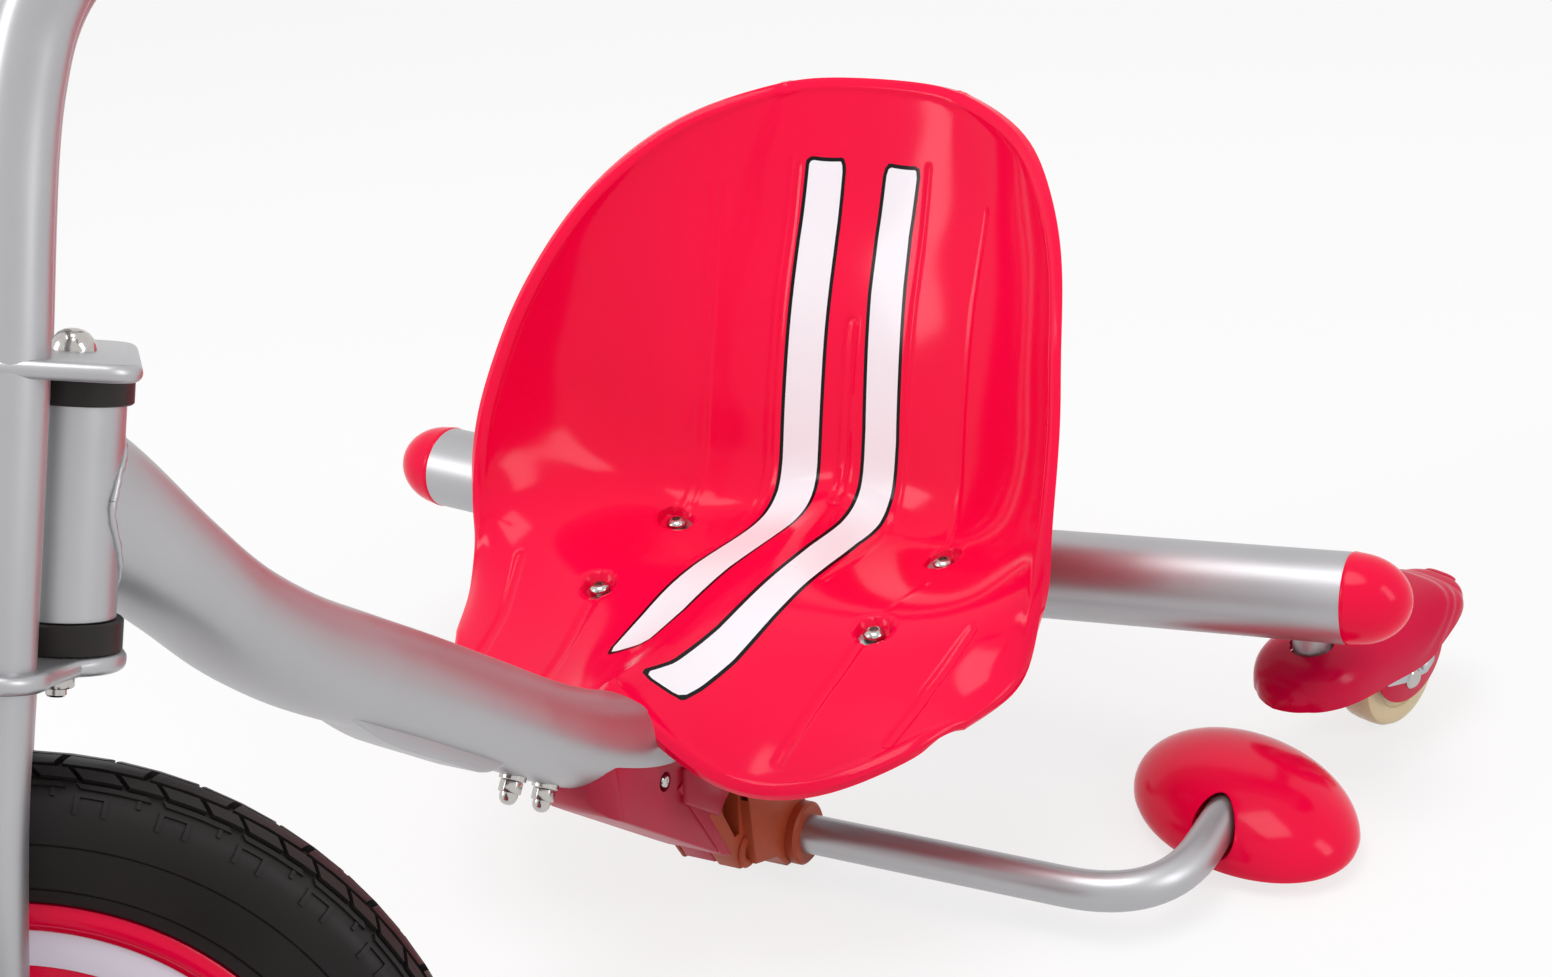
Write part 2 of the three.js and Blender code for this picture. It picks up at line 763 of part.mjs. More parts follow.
place(frame, 'drag_pad', geometryOf(pad), steel);

// Swivel casters, modelled at the stem axis with the wheel trailing along +Y

function casterParts() {
  const inside = yokeInside;
  const outside = yokeInside + yokePlate;
  const yokeLow = yokeTop - yokeTopThick;
  const arm = [
    [-stemRadius, yokeLow - yokeTopThick], [-stemRadius, yokeTop], [casterTrail * half, yokeTop],
    [casterTrail + yokeArm, casterWheelRadius + yokeArm * half],
    [casterTrail + yokeArm, casterWheelRadius - yokeArm * half],
    [casterTrail + yokeArm * half, casterWheelRadius - yokeArm],
    [casterTrail - yokeArm * half, casterWheelRadius - yokeArm],
    [casterTrail - yokeArm, casterWheelRadius - yokeArm * half],
  ];
  const top = solid(block(-outside, outside, -stemRadius, casterTrail * 0.2, yokeLow, yokeTop));
  const axleHole = eyeAt(casterAxleRadius + gap, -outside * 2, outside * 2, casterTrail, casterWheelRadius);
  const collar = solid(post(stemRadius, yokeTop - gap, stemBottom - gap, 18));
  const pin = solid(post(casterPinRadius, yokeLow, stemTop - overrun - gap, 12));
  const yoke = solid(slab(arm, inside, outside)).add(solid(slab(arm, -outside, -inside)))
    .add(top).add(collar).add(pin).subtract(axleHole);

  const axleEnd = outside + casterAxleRadius;
  const axle = eyeAt(casterAxleRadius, -axleEnd, axleEnd, casterTrail, casterWheelRadius)
    .add(eyeAt(casterAxleRadius * 1.6, outside + gap, axleEnd, casterTrail, casterWheelRadius))
    .add(eyeAt(casterAxleRadius * 1.6, -axleEnd, -outside - gap, casterTrail, casterWheelRadius));

  const r = casterWheelRadius;
  const c = casterWheelRound;
  const w = casterWheelHalf;
  const bore = casterAxleRadius + gap;
  const wheelShape = turned([
    [bore, -w], [r - c, -w], [r - c * 0.3, -w + c * 0.3], [r, -w + c], [r, w - c],
    [r - c * 0.3, w - c * 0.3], [r - c, w], [bore, w], [bore, -w],
  ], 20);
  wheelShape.rotateY(quarter);
  wheelShape.translate(0, casterTrail, casterWheelRadius);

  const shell = (out, low, high, nose, tail) => {
    const shape = new THREE.Shape();
    shape.moveTo(out, 0);
    shape.lineTo(out, tail - out * half);
    shape.quadraticCurveTo(out, tail, 0, tail);
    shape.quadraticCurveTo(-out, tail, -out, tail - out * half);
    shape.lineTo(-out, 0);
    shape.absellipse(0, 0, out, nose, Math.PI, turn, false, 0);
    const g = new THREE.ExtrudeGeometry(shape, { depth: high - low, bevelEnabled: false, curveSegments: 5 });
    g.translate(0, 0, low);
    return solid(g);
  };
  const outline = [
    [-fenderNose - overrun, fenderLow], [fenderTail * 0.5, fenderLow], [fenderTail + overrun, fenderHigh * 0.85],
    [fenderTail + overrun, fenderHigh * 0.93], [fenderTail * 0.78, fenderHigh],
    [fenderTail * 0.3, yokeTop + fenderWall * 3], [-stemRadius, yokeTop + fenderWall * 2],
    [-fenderNose * 0.75, yokeTop - fenderWall], [-fenderNose - overrun, fenderLow + fenderWall * 2],
  ];
  const hollow = outline.map(([y, z], i) => [y, i < 3 ? z - overrun * 3 : z - fenderWall]);
  hollow[2] = [fenderTail + overrun * 2, fenderHigh * 0.7];
  hollow[3] = [fenderTail + overrun * 2, fenderHigh * 0.93 - fenderWall];
  const wide = fenderInside + fenderWall;
  const fender = shell(wide * 1.5, fenderLow, fenderHigh, fenderNose, fenderTail)
    .intersect(solid(slab(outline, -wide * 2, wide * 2)))
    .subtract(shell(wide * 1.5 - fenderWall, fenderLow - overrun, fenderHigh, fenderNose - fenderWall, fenderTail * 2)
      .intersect(solid(slab(hollow, -wide * 2, wide * 2))))
    .subtract(solid(post(stemRadius + 1, yokeTop - overrun, fenderHigh, 18)));
  const washer = solid(post(fenderNose * 0.6, yokeTop + gap, yokeTop + gap * 2 + fenderWall, 18))
    .subtract(solid(post(stemRadius + 1, yokeTop - overrun, fenderHigh, 18)));
  return { yoke, axle, wheel: solid(wheelShape), fender: fender.add(washer) };
}
const caster = casterParts();
function casterPlace(body) {
  return body.rotate([0, 0, -casterTurnDeg]).translate([casterSide, casterBack, 0]);
}
[['yoke', steel], ['axle', zinc], ['wheel', urethane], ['fender', red]].forEach(([key, look]) => {
  const body = casterPlace(caster[key]);
  place(frame, `caster_${key}_left`, geometryOf(body), look);
  place(frame, `caster_${key}_right`, geometryOf(mirrored(body)), look);
});

// Steering: plates, kingpin and fork legs that carry on up as the handlebar

const plateLow = headLow - gap - cupLow - gap - lowerPlateThick;
const plateHigh = headTop + gap + cupHigh + gap;
const legHoles = (low, high) => [1, -1].map((side) => solid(post(legRadius + gap * 2, low - overrun, high + overrun, 18))
  .translate([side * legHalfSpacing, -legForward, 0]));
const kingHole = (low, high) => solid(post(kingpinRadius + gap, low - overrun, high + overrun, 12));

function upperPlate() {
  const shape = new THREE.Shape();
  const [w, f, b, c] = [upperPlateHalf + upperPlateCorner * half, upperPlateFront, upperPlateBack, upperPlateCorner];
  shape.moveTo(-w + c, -f);
  shape.lineTo(w - c, -f);
  shape.absarc(w - c, -f + c, c, -quarter, 0, false);
  shape.absarc(w - c, b - c, c, 0, quarter, false);
  shape.absarc(-w + c, b - c, c, quarter, quarter * 2, false);
  shape.absarc(-w + c, -f + c, c, quarter * 2, quarter * 3, false);
  const g = new THREE.ExtrudeGeometry(shape, { depth: upperPlateThick, bevelEnabled: false, curveSegments: 6 });
  g.translate(0, 0, plateHigh);
  let body = solid(g).subtract(kingHole(plateHigh, plateHigh + upperPlateThick));
  legHoles(plateHigh, plateHigh + upperPlateThick).forEach((hole) => { body = body.subtract(hole); });
  return body;
}
function lowerPlate() {
  const high = plateLow + lowerPlateThick;
  const lug = legRadius + legMargin;
  const ends = [1, -1].map((side) => solid(post(lug, plateLow, high, 20))
    .translate([side * legHalfSpacing, -legForward, 0]));
  let body = solid(post(lowerPlateBack, plateLow, high, 24)).add(ends[0]).add(ends[1])
    .add(solid(block(-legHalfSpacing, legHalfSpacing, -legForward - lug, lug * half, plateLow, high)))
    .subtract(kingHole(plateLow, high));
  legHoles(plateLow, high).forEach((hole) => { body = body.subtract(hole); });
  return body;
}
place(steering, 'upper_plate', geometryOf(upperPlate()), silver);
place(steering, 'lower_plate', geometryOf(lowerPlate()), silver);

const pinTop = plateHigh + upperPlateThick + gap;
place(steering, 'kingpin', turned([
  [0, plateLow - nutHeight - overrun], [kingpinRadius, plateLow - nutHeight - overrun], [kingpinRadius, pinTop],
  [washerRadius, pinTop], [washerRadius, pinTop + washerThick], [domeRadius, pinTop + washerThick],
  [domeRadius * 0.96, pinTop + washerThick + domeRadius * 0.35],
  [domeRadius * 0.75, pinTop + washerThick + domeRadius * 0.7],
  [domeRadius * 0.4, pinTop + washerThick + domeRadius * 0.92], [0, pinTop + washerThick + domeRadius],
], 14), zinc);
place(steering, 'kingpin_nut', geometryOf(
  solid(post(nutRadius, plateLow - gap - nutHeight, plateLow - gap, 6)).subtract(kingHole(plateLow - nutHeight, plateLow)),
), zinc);

// Path of one leg: axle eye, straight up through both plates, then back and out to the grip
const legShares = [
  [0.008, 0.054, 0.21], [0.069, 0.230, 0.43], [0.286, 0.429, 0.69], [0.60, 0.69, 0.89],
];
const legPoints = [
  new THREE.Vector3(legHalfSpacing, -wheelForward, -wheelDrop + dropoutRise),
  new THREE.Vector3(legHalfSpacing, -wheelForward - (legForward - wheelForward) * half, -wheelDrop * 0.6),
  new THREE.Vector3(legHalfSpacing, -legForward, -wheelDrop * 0.2),
  new THREE.Vector3(legHalfSpacing, -legForward, 0),
  new THREE.Vector3(legHalfSpacing, -legForward, riserHeight * half),
  new THREE.Vector3(legHalfSpacing, -legForward, riserHeight),
  ...legShares.map(([out, back, up]) => new THREE.Vector3(
    legHalfSpacing + out * barSpread, -legForward + back * barPull, riserHeight + up * barRise,
  )),
  new THREE.Vector3(legHalfSpacing + barSpread, -legForward + barPull, riserHeight + barRise),
];
const legSteps = 20;
const legPath = new THREE.CatmullRomCurve3(legPoints, false, 'centripetal');
const dropoutIn = legHalfSpacing - dropoutThick * half;
const dropoutOut = legHalfSpacing + dropoutThick * half;
const eye = rod(dropoutRadius, dropoutIn, dropoutOut, 14);
eye.translate(0, -wheelForward, -wheelDrop);
const tang = block(dropoutIn, dropoutOut, -wheelForward - dropoutHalf, -wheelForward + dropoutHalf,
  -wheelDrop, -wheelDrop + dropoutRise + legRadius);
const bearing = rod(axleRadius + gap, 0, legHalfSpacing * 2);
bearing.translate(0, -wheelForward, -wheelDrop);
const legBody = solid(sweep(legPath, legRadius, legWall, legSteps, 5)).add(solid(eye)).add(solid(tang))
  .subtract(solid(bearing));
place(steering, 'fork_leg_left', geometryOf(legBody), silver);
place(steering, 'fork_leg_right', geometryOf(mirrored(legBody)), silver);

const legSolid = solid(sweep(legPath, legRadius + gap, 0, legSteps, 5));
const cross = rod(crossTubeRadius, -legHalfSpacing, legHalfSpacing, 14);
cross.translate(0, -legForward, crossTubeHeight);
place(steering, 'cross_tube', geometryOf(
  solid(cross).subtract(legSolid).subtract(mirrored(legSolid)),
), silver);

// Grips: sleeves along the last stretch of the bars
const legTotal = legPath.getLength();
const gripCurve = new THREE.CatmullRomCurve3([3, 2, 1, 0].map(
  (i) => legPath.getPointAt(1 - (gripLength * i / 3) / legTotal),
));
const gripFull = solid(sweep(gripCurve, legRadius + gap + gripWall, 0, 4, 6));
const gripCap = new THREE.SphereGeometry(legRadius + gap + gripWall, 12, 7);
const gripTip = legPath.getPointAt(1);
gripCap.translate(gripTip.x, gripTip.y, gripTip.z);
const gripBody = gripFull.add(solid(gripCap)).subtract(legSolid);
place(steering, 'grip_left', geometryOf(gripBody), black);
place(steering, 'grip_right', geometryOf(mirrored(gripBody)), black);

// Front wheel about its own axle, which runs along X

function wheelTurned(pairs, sides) {
  const g = turned(pairs, sides);
  g.rotateY(quarter);
  return g;
}
const beadRadius = wheelRadius - tyreDepth;
const tyreSection = [
  [beadRadius, -rimHalfWidth], [beadRadius + rimLip, -rimHalfWidth - rimStep],
  [beadRadius + tyreDepth * 0.35, -tyreHalfWidth * 0.94], [beadRadius + tyreDepth * 0.62, -tyreHalfWidth],
  [wheelRadius - treadDepth * 2, -tyreHalfWidth * 0.9], [wheelRadius - treadDepth, -tyreHalfWidth * 0.62],
  [wheelRadius, 0], [wheelRadius - treadDepth, tyreHalfWidth * 0.62],
  [wheelRadius - treadDepth * 2, tyreHalfWidth * 0.9], [beadRadius + tyreDepth * 0.62, tyreHalfWidth],
  [beadRadius + tyreDepth * 0.35, tyreHalfWidth * 0.94], [beadRadius + rimLip, rimHalfWidth + rimStep],
  [beadRadius, rimHalfWidth], [beadRadius, -rimHalfWidth],
];
place(wheelGroup, 'front_tyre', wheelTurned(tyreSection, 40), rubber);
const rimIn = rimRadius - rimLip;
const webOut = rimIn - rimLip;
const bore = axleRadius + gap;
place(wheelGroup, 'front_rim', wheelTurned([
  [bore, -hubHalf], [hubRadius, -hubHalf], [hubRadius, -discHalf], [webOut, -discHalf],
  [rimIn, -rimHalfWidth], [rimRadius, -rimHalfWidth], [rimRadius, rimHalfWidth], [rimIn, rimHalfWidth],
  [webOut, discHalf], [hubRadius, discHalf], [hubRadius, hubHalf], [bore, hubHalf], [bore, -hubHalf],
], 40), red);
const crankOut = crankOffset + crankThick;
place(wheelGroup, 'front_axle', rod(axleRadius, -crankOut - gap * 4, crankOut + gap * 4, 24), zinc);

const crankPhase = THREE.MathUtils.degToRad(crankPhaseDeg);
const crankY = crankLength * Math.sin(crankPhase);
const crankZ = crankLength * Math.cos(crankPhase);
function crankBody() {
  const arm = block(crankOffset, crankOut, -crankWidth * half, crankWidth * half, 0, crankLength);
  const end = rod(crankEye, crankOffset, crankOut);
  end.translate(0, 0, crankLength);
  const spindle = rod(spindleRadius, crankOut - gap, crankOut + spindleLength, 12);
  spindle.translate(0, 0, crankLength);
  return solid(rod(crankBoss, crankOffset, crankOut)).add(solid(arm)).add(solid(end)).add(solid(spindle))
    .subtract(solid(rod(axleRadius + gap, crankOffset - overrun, crankOut + overrun)));
}
const phased = (body) => body.rotate([-crankPhaseDeg, 0, 0]);
place(wheelGroup, 'crank_left', geometryOf(phased(crankBody())), steel);
place(wheelGroup, 'crank_right', geometryOf(mirrored(crankBody()).rotate([180 - crankPhaseDeg, 0, 0])), steel);

function pedalBody() {
  const from = crankOut + pedalStart;
  const body = solid(block(from, from + pedalLength, -pedalWidth * half, pedalWidth * half,
    -pedalHeight * half, pedalHeight * half));
  const wellFrom = from + pedalHeight;
  const wellTo = from + pedalLength - pedalHeight * half;
  const wells = [1, -1].map((side) => solid(block(
    wellFrom, wellTo, side * pedalWidth * 0.36 - pedalHeight * 0.25, side * pedalWidth * 0.36 + pedalHeight * 0.25,
    -pedalHeight, pedalHeight,
  )));
  return body.subtract(wells[0]).subtract(wells[1])
    .subtract(solid(rod(spindleRadius + gap, from - overrun, from + pedalLength + overrun, 12)));
}
const leftPedal = pedalBody().translate([0, crankY, crankZ]);
const rightPedal = mirrored(pedalBody()).translate([0, -crankY, -crankZ]);
place(wheelGroup, 'pedal_left', geometryOf(leftPedal), black);
place(wheelGroup, 'pedal_right', geometryOf(rightPedal), black);

export default part;
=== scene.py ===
# %% [markdown]
# # Drift trike
# A low three-wheeler: one bent tube from the steering head to a cross tube at the back, a bucket
# seat, a pedalled front wheel, two swivel casters and a sprung bar with a drag shoe.
# The CAD model comes in as a fixed frame. The cells then model pieces over it, or give CAD
# pieces their finish. Sizes are in millimetres until the last moment.

# %% Load the frame
import math

import bpy
import numpy as np
from mathutils import Matrix, Vector


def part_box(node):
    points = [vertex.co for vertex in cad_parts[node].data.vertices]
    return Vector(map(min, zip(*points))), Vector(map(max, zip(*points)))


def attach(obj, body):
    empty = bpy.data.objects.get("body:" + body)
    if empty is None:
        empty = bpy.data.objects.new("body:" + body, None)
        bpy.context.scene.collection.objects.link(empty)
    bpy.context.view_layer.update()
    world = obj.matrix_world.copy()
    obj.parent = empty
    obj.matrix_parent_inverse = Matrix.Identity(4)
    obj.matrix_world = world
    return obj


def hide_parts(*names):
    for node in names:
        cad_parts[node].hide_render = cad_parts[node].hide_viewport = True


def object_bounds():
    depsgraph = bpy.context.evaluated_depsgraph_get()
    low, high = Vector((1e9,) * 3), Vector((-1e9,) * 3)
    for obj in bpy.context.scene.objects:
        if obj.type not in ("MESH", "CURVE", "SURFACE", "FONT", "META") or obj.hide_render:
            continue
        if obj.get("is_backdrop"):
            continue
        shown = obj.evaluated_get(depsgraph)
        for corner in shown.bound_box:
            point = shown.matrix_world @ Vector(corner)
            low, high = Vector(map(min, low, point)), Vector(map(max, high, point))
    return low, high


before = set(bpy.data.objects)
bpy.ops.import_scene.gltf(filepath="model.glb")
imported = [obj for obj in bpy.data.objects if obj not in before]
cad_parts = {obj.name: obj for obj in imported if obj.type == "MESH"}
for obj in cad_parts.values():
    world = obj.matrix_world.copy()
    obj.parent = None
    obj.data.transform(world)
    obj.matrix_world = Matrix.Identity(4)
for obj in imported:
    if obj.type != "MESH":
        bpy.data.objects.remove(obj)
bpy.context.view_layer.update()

# %% [markdown]
# ## Places
# The trike is easiest to describe from the middle of its rear cross tube, so `at` turns such a
# place into the frame's own metres. The steering head leans back by the rake, and the fork and
# front wheel turn about it, so each of them gets a matrix of its own.

# %% Sizes and places shared by many pieces
MM = 0.001
Q = math.pi / 2
REAR = 345.64
REAR_HIGH = 123
TUBE = 25.4
LEG_TUBE = 14.3
LEG_OUT = 44
CRANK = 92
CRANK_TURN = math.radians(35)
RAKE = math.radians(-23.54)
STEER = math.radians(-47)


def at(x, y, z):
    """A place in mm from the rear tube's middle and the floor."""
    return Vector((x, y + REAR, z)) * MM


def stand(x, y, z):
    """The shift to a place from the rear tube's middle."""
    return Matrix.Translation(at(x, y, z))


def moved(x, y, z):
    """A shift in mm."""
    return Matrix.Translation(Vector((x, y, z)) * MM)


def pair(side, near, far):
    """Two distances from the middle plane, as low and high X."""
    return sorted((side * near, side * far))


def facing(direction):
    """The turn that lays the Z axis along a direction."""
    return Vector((0, 0, 1)).rotation_difference(direction).to_matrix().to_4x4()


HEAD = stand(0, -600.6, 390.7) @ Matrix.Rotation(RAKE, 4, "X")
FORK = HEAD @ Matrix.Rotation(STEER, 4, "Z")
WHEEL = FORK @ moved(0, -12, -220.39)
TO_X = Matrix.Rotation(Q, 4, "Y")
SIDE_ON = Matrix(((0, 0, 1, 0), (1, 0, 0, 0), (0, 1, 0, 0), (0, 0, 0, 1)))
STEM = stand(266, 50, 0)
CASTER = STEM @ Matrix.Rotation(math.radians(-20), 4, "Z")
CASTER_AXLE = CASTER @ moved(0, 66, 33) @ TO_X
PIVOT = stand(0, -188, 45)
HOUSING_BOLT = stand(0, -251, 129.5) @ TO_X
SWIVELS = ("caster_left", "caster_right")
SIDES = ((1, "left"), (-1, "right"))
print("head at", tuple(HEAD.translation), "casters at", tuple(STEM.translation))

# %% [markdown]
# ## Camera and light
# The camera stands high on the rider's left, a little in front, and is rolled a few degrees, as
# the photographer held it. Three large soft lamps and a pale world light the trike evenly. The
# world is white only where the camera or a reflection looks at it.

# %% Camera
scene = bpy.context.scene
lens = bpy.data.cameras.new("camera")
lens.sensor_width = 36
lens.lens = 63.72
camera = bpy.data.objects.new("camera", lens)
scene.collection.objects.link(camera)
right = Vector((0.872638, 0.473137, -0.121013))
up = Vector((-0.122809, 0.452426, 0.883306))
ahead = Vector((-0.472674, 0.755944, -0.45291))
look = Matrix((right, up, -ahead)).transposed().to_4x4()
camera.matrix_world = stand(725, -1228, 899) @ look
lens.clip_start = 0.05
lens.clip_end = 50
scene.camera = camera
print("camera at", tuple(camera.matrix_world.translation))

# %% Lamps and world
def lamp(name, place, aim, size, power):
    light = bpy.data.lights.new(name, "AREA")
    light.shape = "RECTANGLE"
    light.size, light.size_y = size
    light.energy = power
    holder = bpy.data.objects.new(name, light)
    scene.collection.objects.link(holder)
    place, aim = Vector(place), Vector(aim)
    aimed = (aim - place).to_track_quat("-Z", "Y").to_matrix().to_4x4()
    holder.matrix_world = Matrix.Translation(place) @ aimed


lamp("lamp_top", (0.1, -0.1, 2.6), (0, 0, 0.2), (1.2, 1.4), 26)
lamp("lamp_left", (-1.9, -1.6, 1.7), (0, 0, 0.25), (0.8, 1.3), 22)
lamp("lamp_right", (2.3, 0.2, 1.3), (0, 0.1, 0.25), (0.6, 1.4), 13)


def add(tree, kind, values=None):
    """A new node of a kind, with the values of its inputs."""
    made = tree.nodes.new("ShaderNode" + kind)
    for key, value in (values or {}).items():
        made.inputs[key].default_value = value
    return made


def where_looked_at(tree, kind, usual, looked, share=None):
    """Joins a shader for light in general and one for what the camera or a reflection sees."""
    rays, either, blend = add(tree, "LightPath"), add(tree, "Math"), add(tree, "MixShader")
    either.operation = "MAXIMUM"
    tree.links.new(rays.outputs["Is Camera Ray"], either.inputs[0])
    tree.links.new(rays.outputs["Is Glossy Ray"], either.inputs[1])
    if share:
        part = add(tree, "Math", {1: share})
        part.operation = "MULTIPLY"
        tree.links.new(either.outputs["Value"], part.inputs[0])
        either = part
    tree.links.new(either.outputs["Value"], blend.inputs["Fac"])
    tree.links.new(usual.outputs[0], blend.inputs[1])
    tree.links.new(looked.outputs[0], blend.inputs[2])
    tree.links.new(blend.outputs["Shader"], add(tree, kind).inputs["Surface"])


world = bpy.data.worlds.new("studio")
scene.world = world
world.use_nodes = True
tree = world.node_tree
tree.nodes.clear()
white = (1, 1, 1, 1)
where_looked_at(tree, "OutputWorld", add(tree, "Background", {"Color": white, "Strength": 0.62}),
                add(tree, "Background", {"Color": white, "Strength": 1.0}))
scene.view_settings.view_transform = "Standard"
print(len(bpy.data.lights), "lamps and a pale world")

# %% Floor
bpy.ops.mesh.primitive_circle_add(vertices=64, radius=9, fill_type="NGON", location=(0, 0, -0.0005))
floor = bpy.context.object
floor.name = "floor"
floor_paper = bpy.data.materials.new("floor_paper")
floor_paper.use_nodes = True
tree = floor_paper.node_tree
tree.nodes.clear()
where_looked_at(tree, "OutputMaterial", add(tree, "BsdfDiffuse", {"Color": (0.86, 0.86, 0.86, 1)}),
                add(tree, "Emission", {"Strength": 1.0}), share=0.75)
floor.data.materials.append(floor_paper)
floor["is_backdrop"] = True
print("floor")

# %% [markdown]
# ## Finishes
# Real paint, plastic and rubber are never one flat colour. Each finish below follows the same
# recipe: a cloudy noise moves the colour and the gloss a little, and a fine grain tilts the
# surface. The noise is laid on Object coordinates, so it sticks to the piece when it moves.

# %% The shared recipe
def finish(slot, name, color, rough, metal, spread, cloud, gloss, grain, bump, spec):
    """A slot and the material that fills it."""
    made = bpy.data.materials.new(name)
    made.use_nodes = True
    tree = made.node_tree
    shader = tree.nodes["Principled BSDF"]
    shader.inputs["Metallic"].default_value = metal
    shader.inputs["Specular IOR Level"].default_value = spec
    place = add(tree, "TexCoord").outputs["Object"]
    clouds = add(tree, "TexNoise", {"Scale": cloud, "Detail": 4})
    fine = add(tree, "TexNoise", {"Scale": grain, "Detail": 2})
    shade = add(tree, "ValToRGB")
    ends = shade.color_ramp.elements
    ends[0].position, ends[1].position = 0.3, 0.7
    ends[0].color = [c * (1 - spread) for c in color] + [1]
    ends[1].color = [min(1, c * (1 + spread)) for c in color] + [1]
    dull = add(tree, "MapRange", {"From Min": 0.3, "From Max": 0.7,
                                  "To Min": rough - gloss, "To Max": rough + gloss})
    tilt = add(tree, "Bump", {"Strength": bump, "Distance": 0.001})
    for source, target in (
            (place, clouds.inputs["Vector"]), (place, fine.inputs["Vector"]),
            (clouds.outputs["Fac"], shade.inputs["Fac"]), (clouds.outputs["Fac"], dull.inputs["Value"]),
            (fine.outputs["Fac"], tilt.inputs["Height"]),
            (shade.outputs["Color"], shader.inputs["Base Color"]),
            (dull.outputs["Result"], shader.inputs["Roughness"]),
            (tilt.outputs["Normal"], shader.inputs["Normal"])):
        tree.links.new(source, target)
    return slot, made


# After slot, name and colour: roughness, metal, spread, cloud, gloss, grain, bump and specular level.
silver = finish("silver_tube", "silver_paint", (0.44, 0.44, 0.455),
                0.40, 0.92, 0.04, 14, 0.04, 1500, 0.012, 0.5)
bright = finish("bright_bolt", "bright_plate", (0.50, 0.48, 0.46), 0.16, 1, 0.06, 90, 0.05, 900, 0.01, 0.5)
steel = finish("bare_steel", "bare_steel", (0.50, 0.51, 0.53), 0.36, 1, 0.06, 30, 0.05, 900, 0.02, 0.5)
red = finish("red_plastic", "red_gloss", (0.80, 0.0012, 0.045), 0.16, 0, 0.03, 9, 0.02, 420, 0.005, 0.15)
# The fender takes the same red plastic as the shoe with a darker base colour: painted shade on the hood.
painted_shade_red = finish("red_plastic", "painted_shade_red_gloss", (0.56, 0.0012, 0.042),
                 0.18, 0, 0.03, 9, 0.02, 420, 0.005, 0.15)
darkred = finish("dark_red_plastic", "dark_red_plastic", (0.37, 0.008, 0.035),
                 0.36, 0, 0.08, 22, 0.05, 500, 0.03, 0.25)
rust = finish("orange_plastic", "orange_brown_plastic", (0.33, 0.055, 0.02),
              0.45, 0, 0.12, 40, 0.05, 650, 0.04, 0.25)
black = finish("black_plastic", "black_plastic", (0.016, 0.011, 0.011),
               0.42, 0, 0.2, 25, 0.05, 500, 0.03, 0.25)
rubber = finish("grip_rubber", "grip_rubber", (0.014, 0.014, 0.015), 0.62, 0, 0.2, 25, 0.05, 700, 0.08, 0.3)
tread = finish("tyre", "tyre_rubber", (0.010, 0.0075, 0.0075), 0.46, 0, 0.3, 18, 0.08, 420, 0.05, 0.22)
pale = finish("pale_wheel", "pale_urethane", (0.70, 0.58, 0.36), 0.28, 0, 0.06, 30, 0.05, 400, 0.01, 0.3)
ring_white = finish("red_plastic", "white_ring", (0.74, 0.70, 0.80), 0.34, 0, 0.02, 12, 0.05, 300, 0.006, 0.3)
print(len(bpy.data.materials), "materials")

# %% [markdown]
# ## Ways of making
# A few moves come back: a turned piece grows ring by ring from a circle, a plate is drawn up from
# its outline, a tube follows a curve, and sharp edges are softened with a bevel. A finished piece
# has its place in its mesh, so that its object sits at the origin.

# %% Moves used by many pieces
TINY = 0.01


def deselect():
    if bpy.context.object and bpy.context.object.mode != "OBJECT":
        bpy.ops.object.mode_set(mode="OBJECT")
    bpy.ops.object.select_all(action="DESELECT")


def take(piece):
    deselect()
    piece.select_set(True)
    bpy.context.view_layer.objects.active = piece


def edit_all():
    bpy.ops.object.mode_set(mode="EDIT")
    bpy.ops.mesh.select_all(action="SELECT")


def edit_done():
    bpy.ops.object.mode_set(mode="OBJECT")


def tidy(piece, merge=TINY * 4):
    """Closes seams and poles and turns the faces outwards."""
    take(piece)
    edit_all()
    bpy.ops.mesh.remove_doubles(threshold=merge * MM)
    bpy.ops.mesh.normals_make_consistent(inside=False)
    edit_done()


def settle(piece, place=None):
    """Moves the piece's place into its mesh."""
    bpy.context.view_layer.update()
    piece.data.transform((place or Matrix()) @ piece.matrix_world)
    piece.matrix_world = Matrix()
    return piece


def turned(rings, sides=64, place=None):
    """Grows rings of (radius, height) in mm about Z."""
    deselect()
    radius, height = rings[0]
    bpy.ops.mesh.primitive_circle_add(vertices=sides, radius=max(radius, TINY) * MM,
                                      location=(0, 0, height * MM))
    piece = bpy.context.object
    edit_all()
    for (r0, z0), (r1, z1) in zip(rings, rings[1:]):
        bpy.ops.mesh.extrude_edges_move(TRANSFORM_OT_translate={"value": (0, 0, (z1 - z0) * MM)})
        grow = max(r1, TINY) / max(r0, TINY)
        bpy.ops.transform.resize(value=(grow, grow, 1), center_override=(0, 0, 0))
    edit_done()
    tidy(piece)
    return settle(piece, place)


def plate(outline, low, high, place=None):
    """Draws an outline in mm up from low to high."""
    deselect()
    bpy.ops.mesh.primitive_circle_add(vertices=len(outline), radius=MM, fill_type="NGON")
    piece = bpy.context.object
    for vertex, (x, y) in zip(piece.data.vertices, outline):
        vertex.co = Vector((x, y, low)) * MM
    edit_all()
    bpy.ops.mesh.extrude_region_move(TRANSFORM_OT_translate={"value": (0, 0, (high - low) * MM)})
    edit_done()
    tidy(piece, 0.001)
    return settle(piece, place)


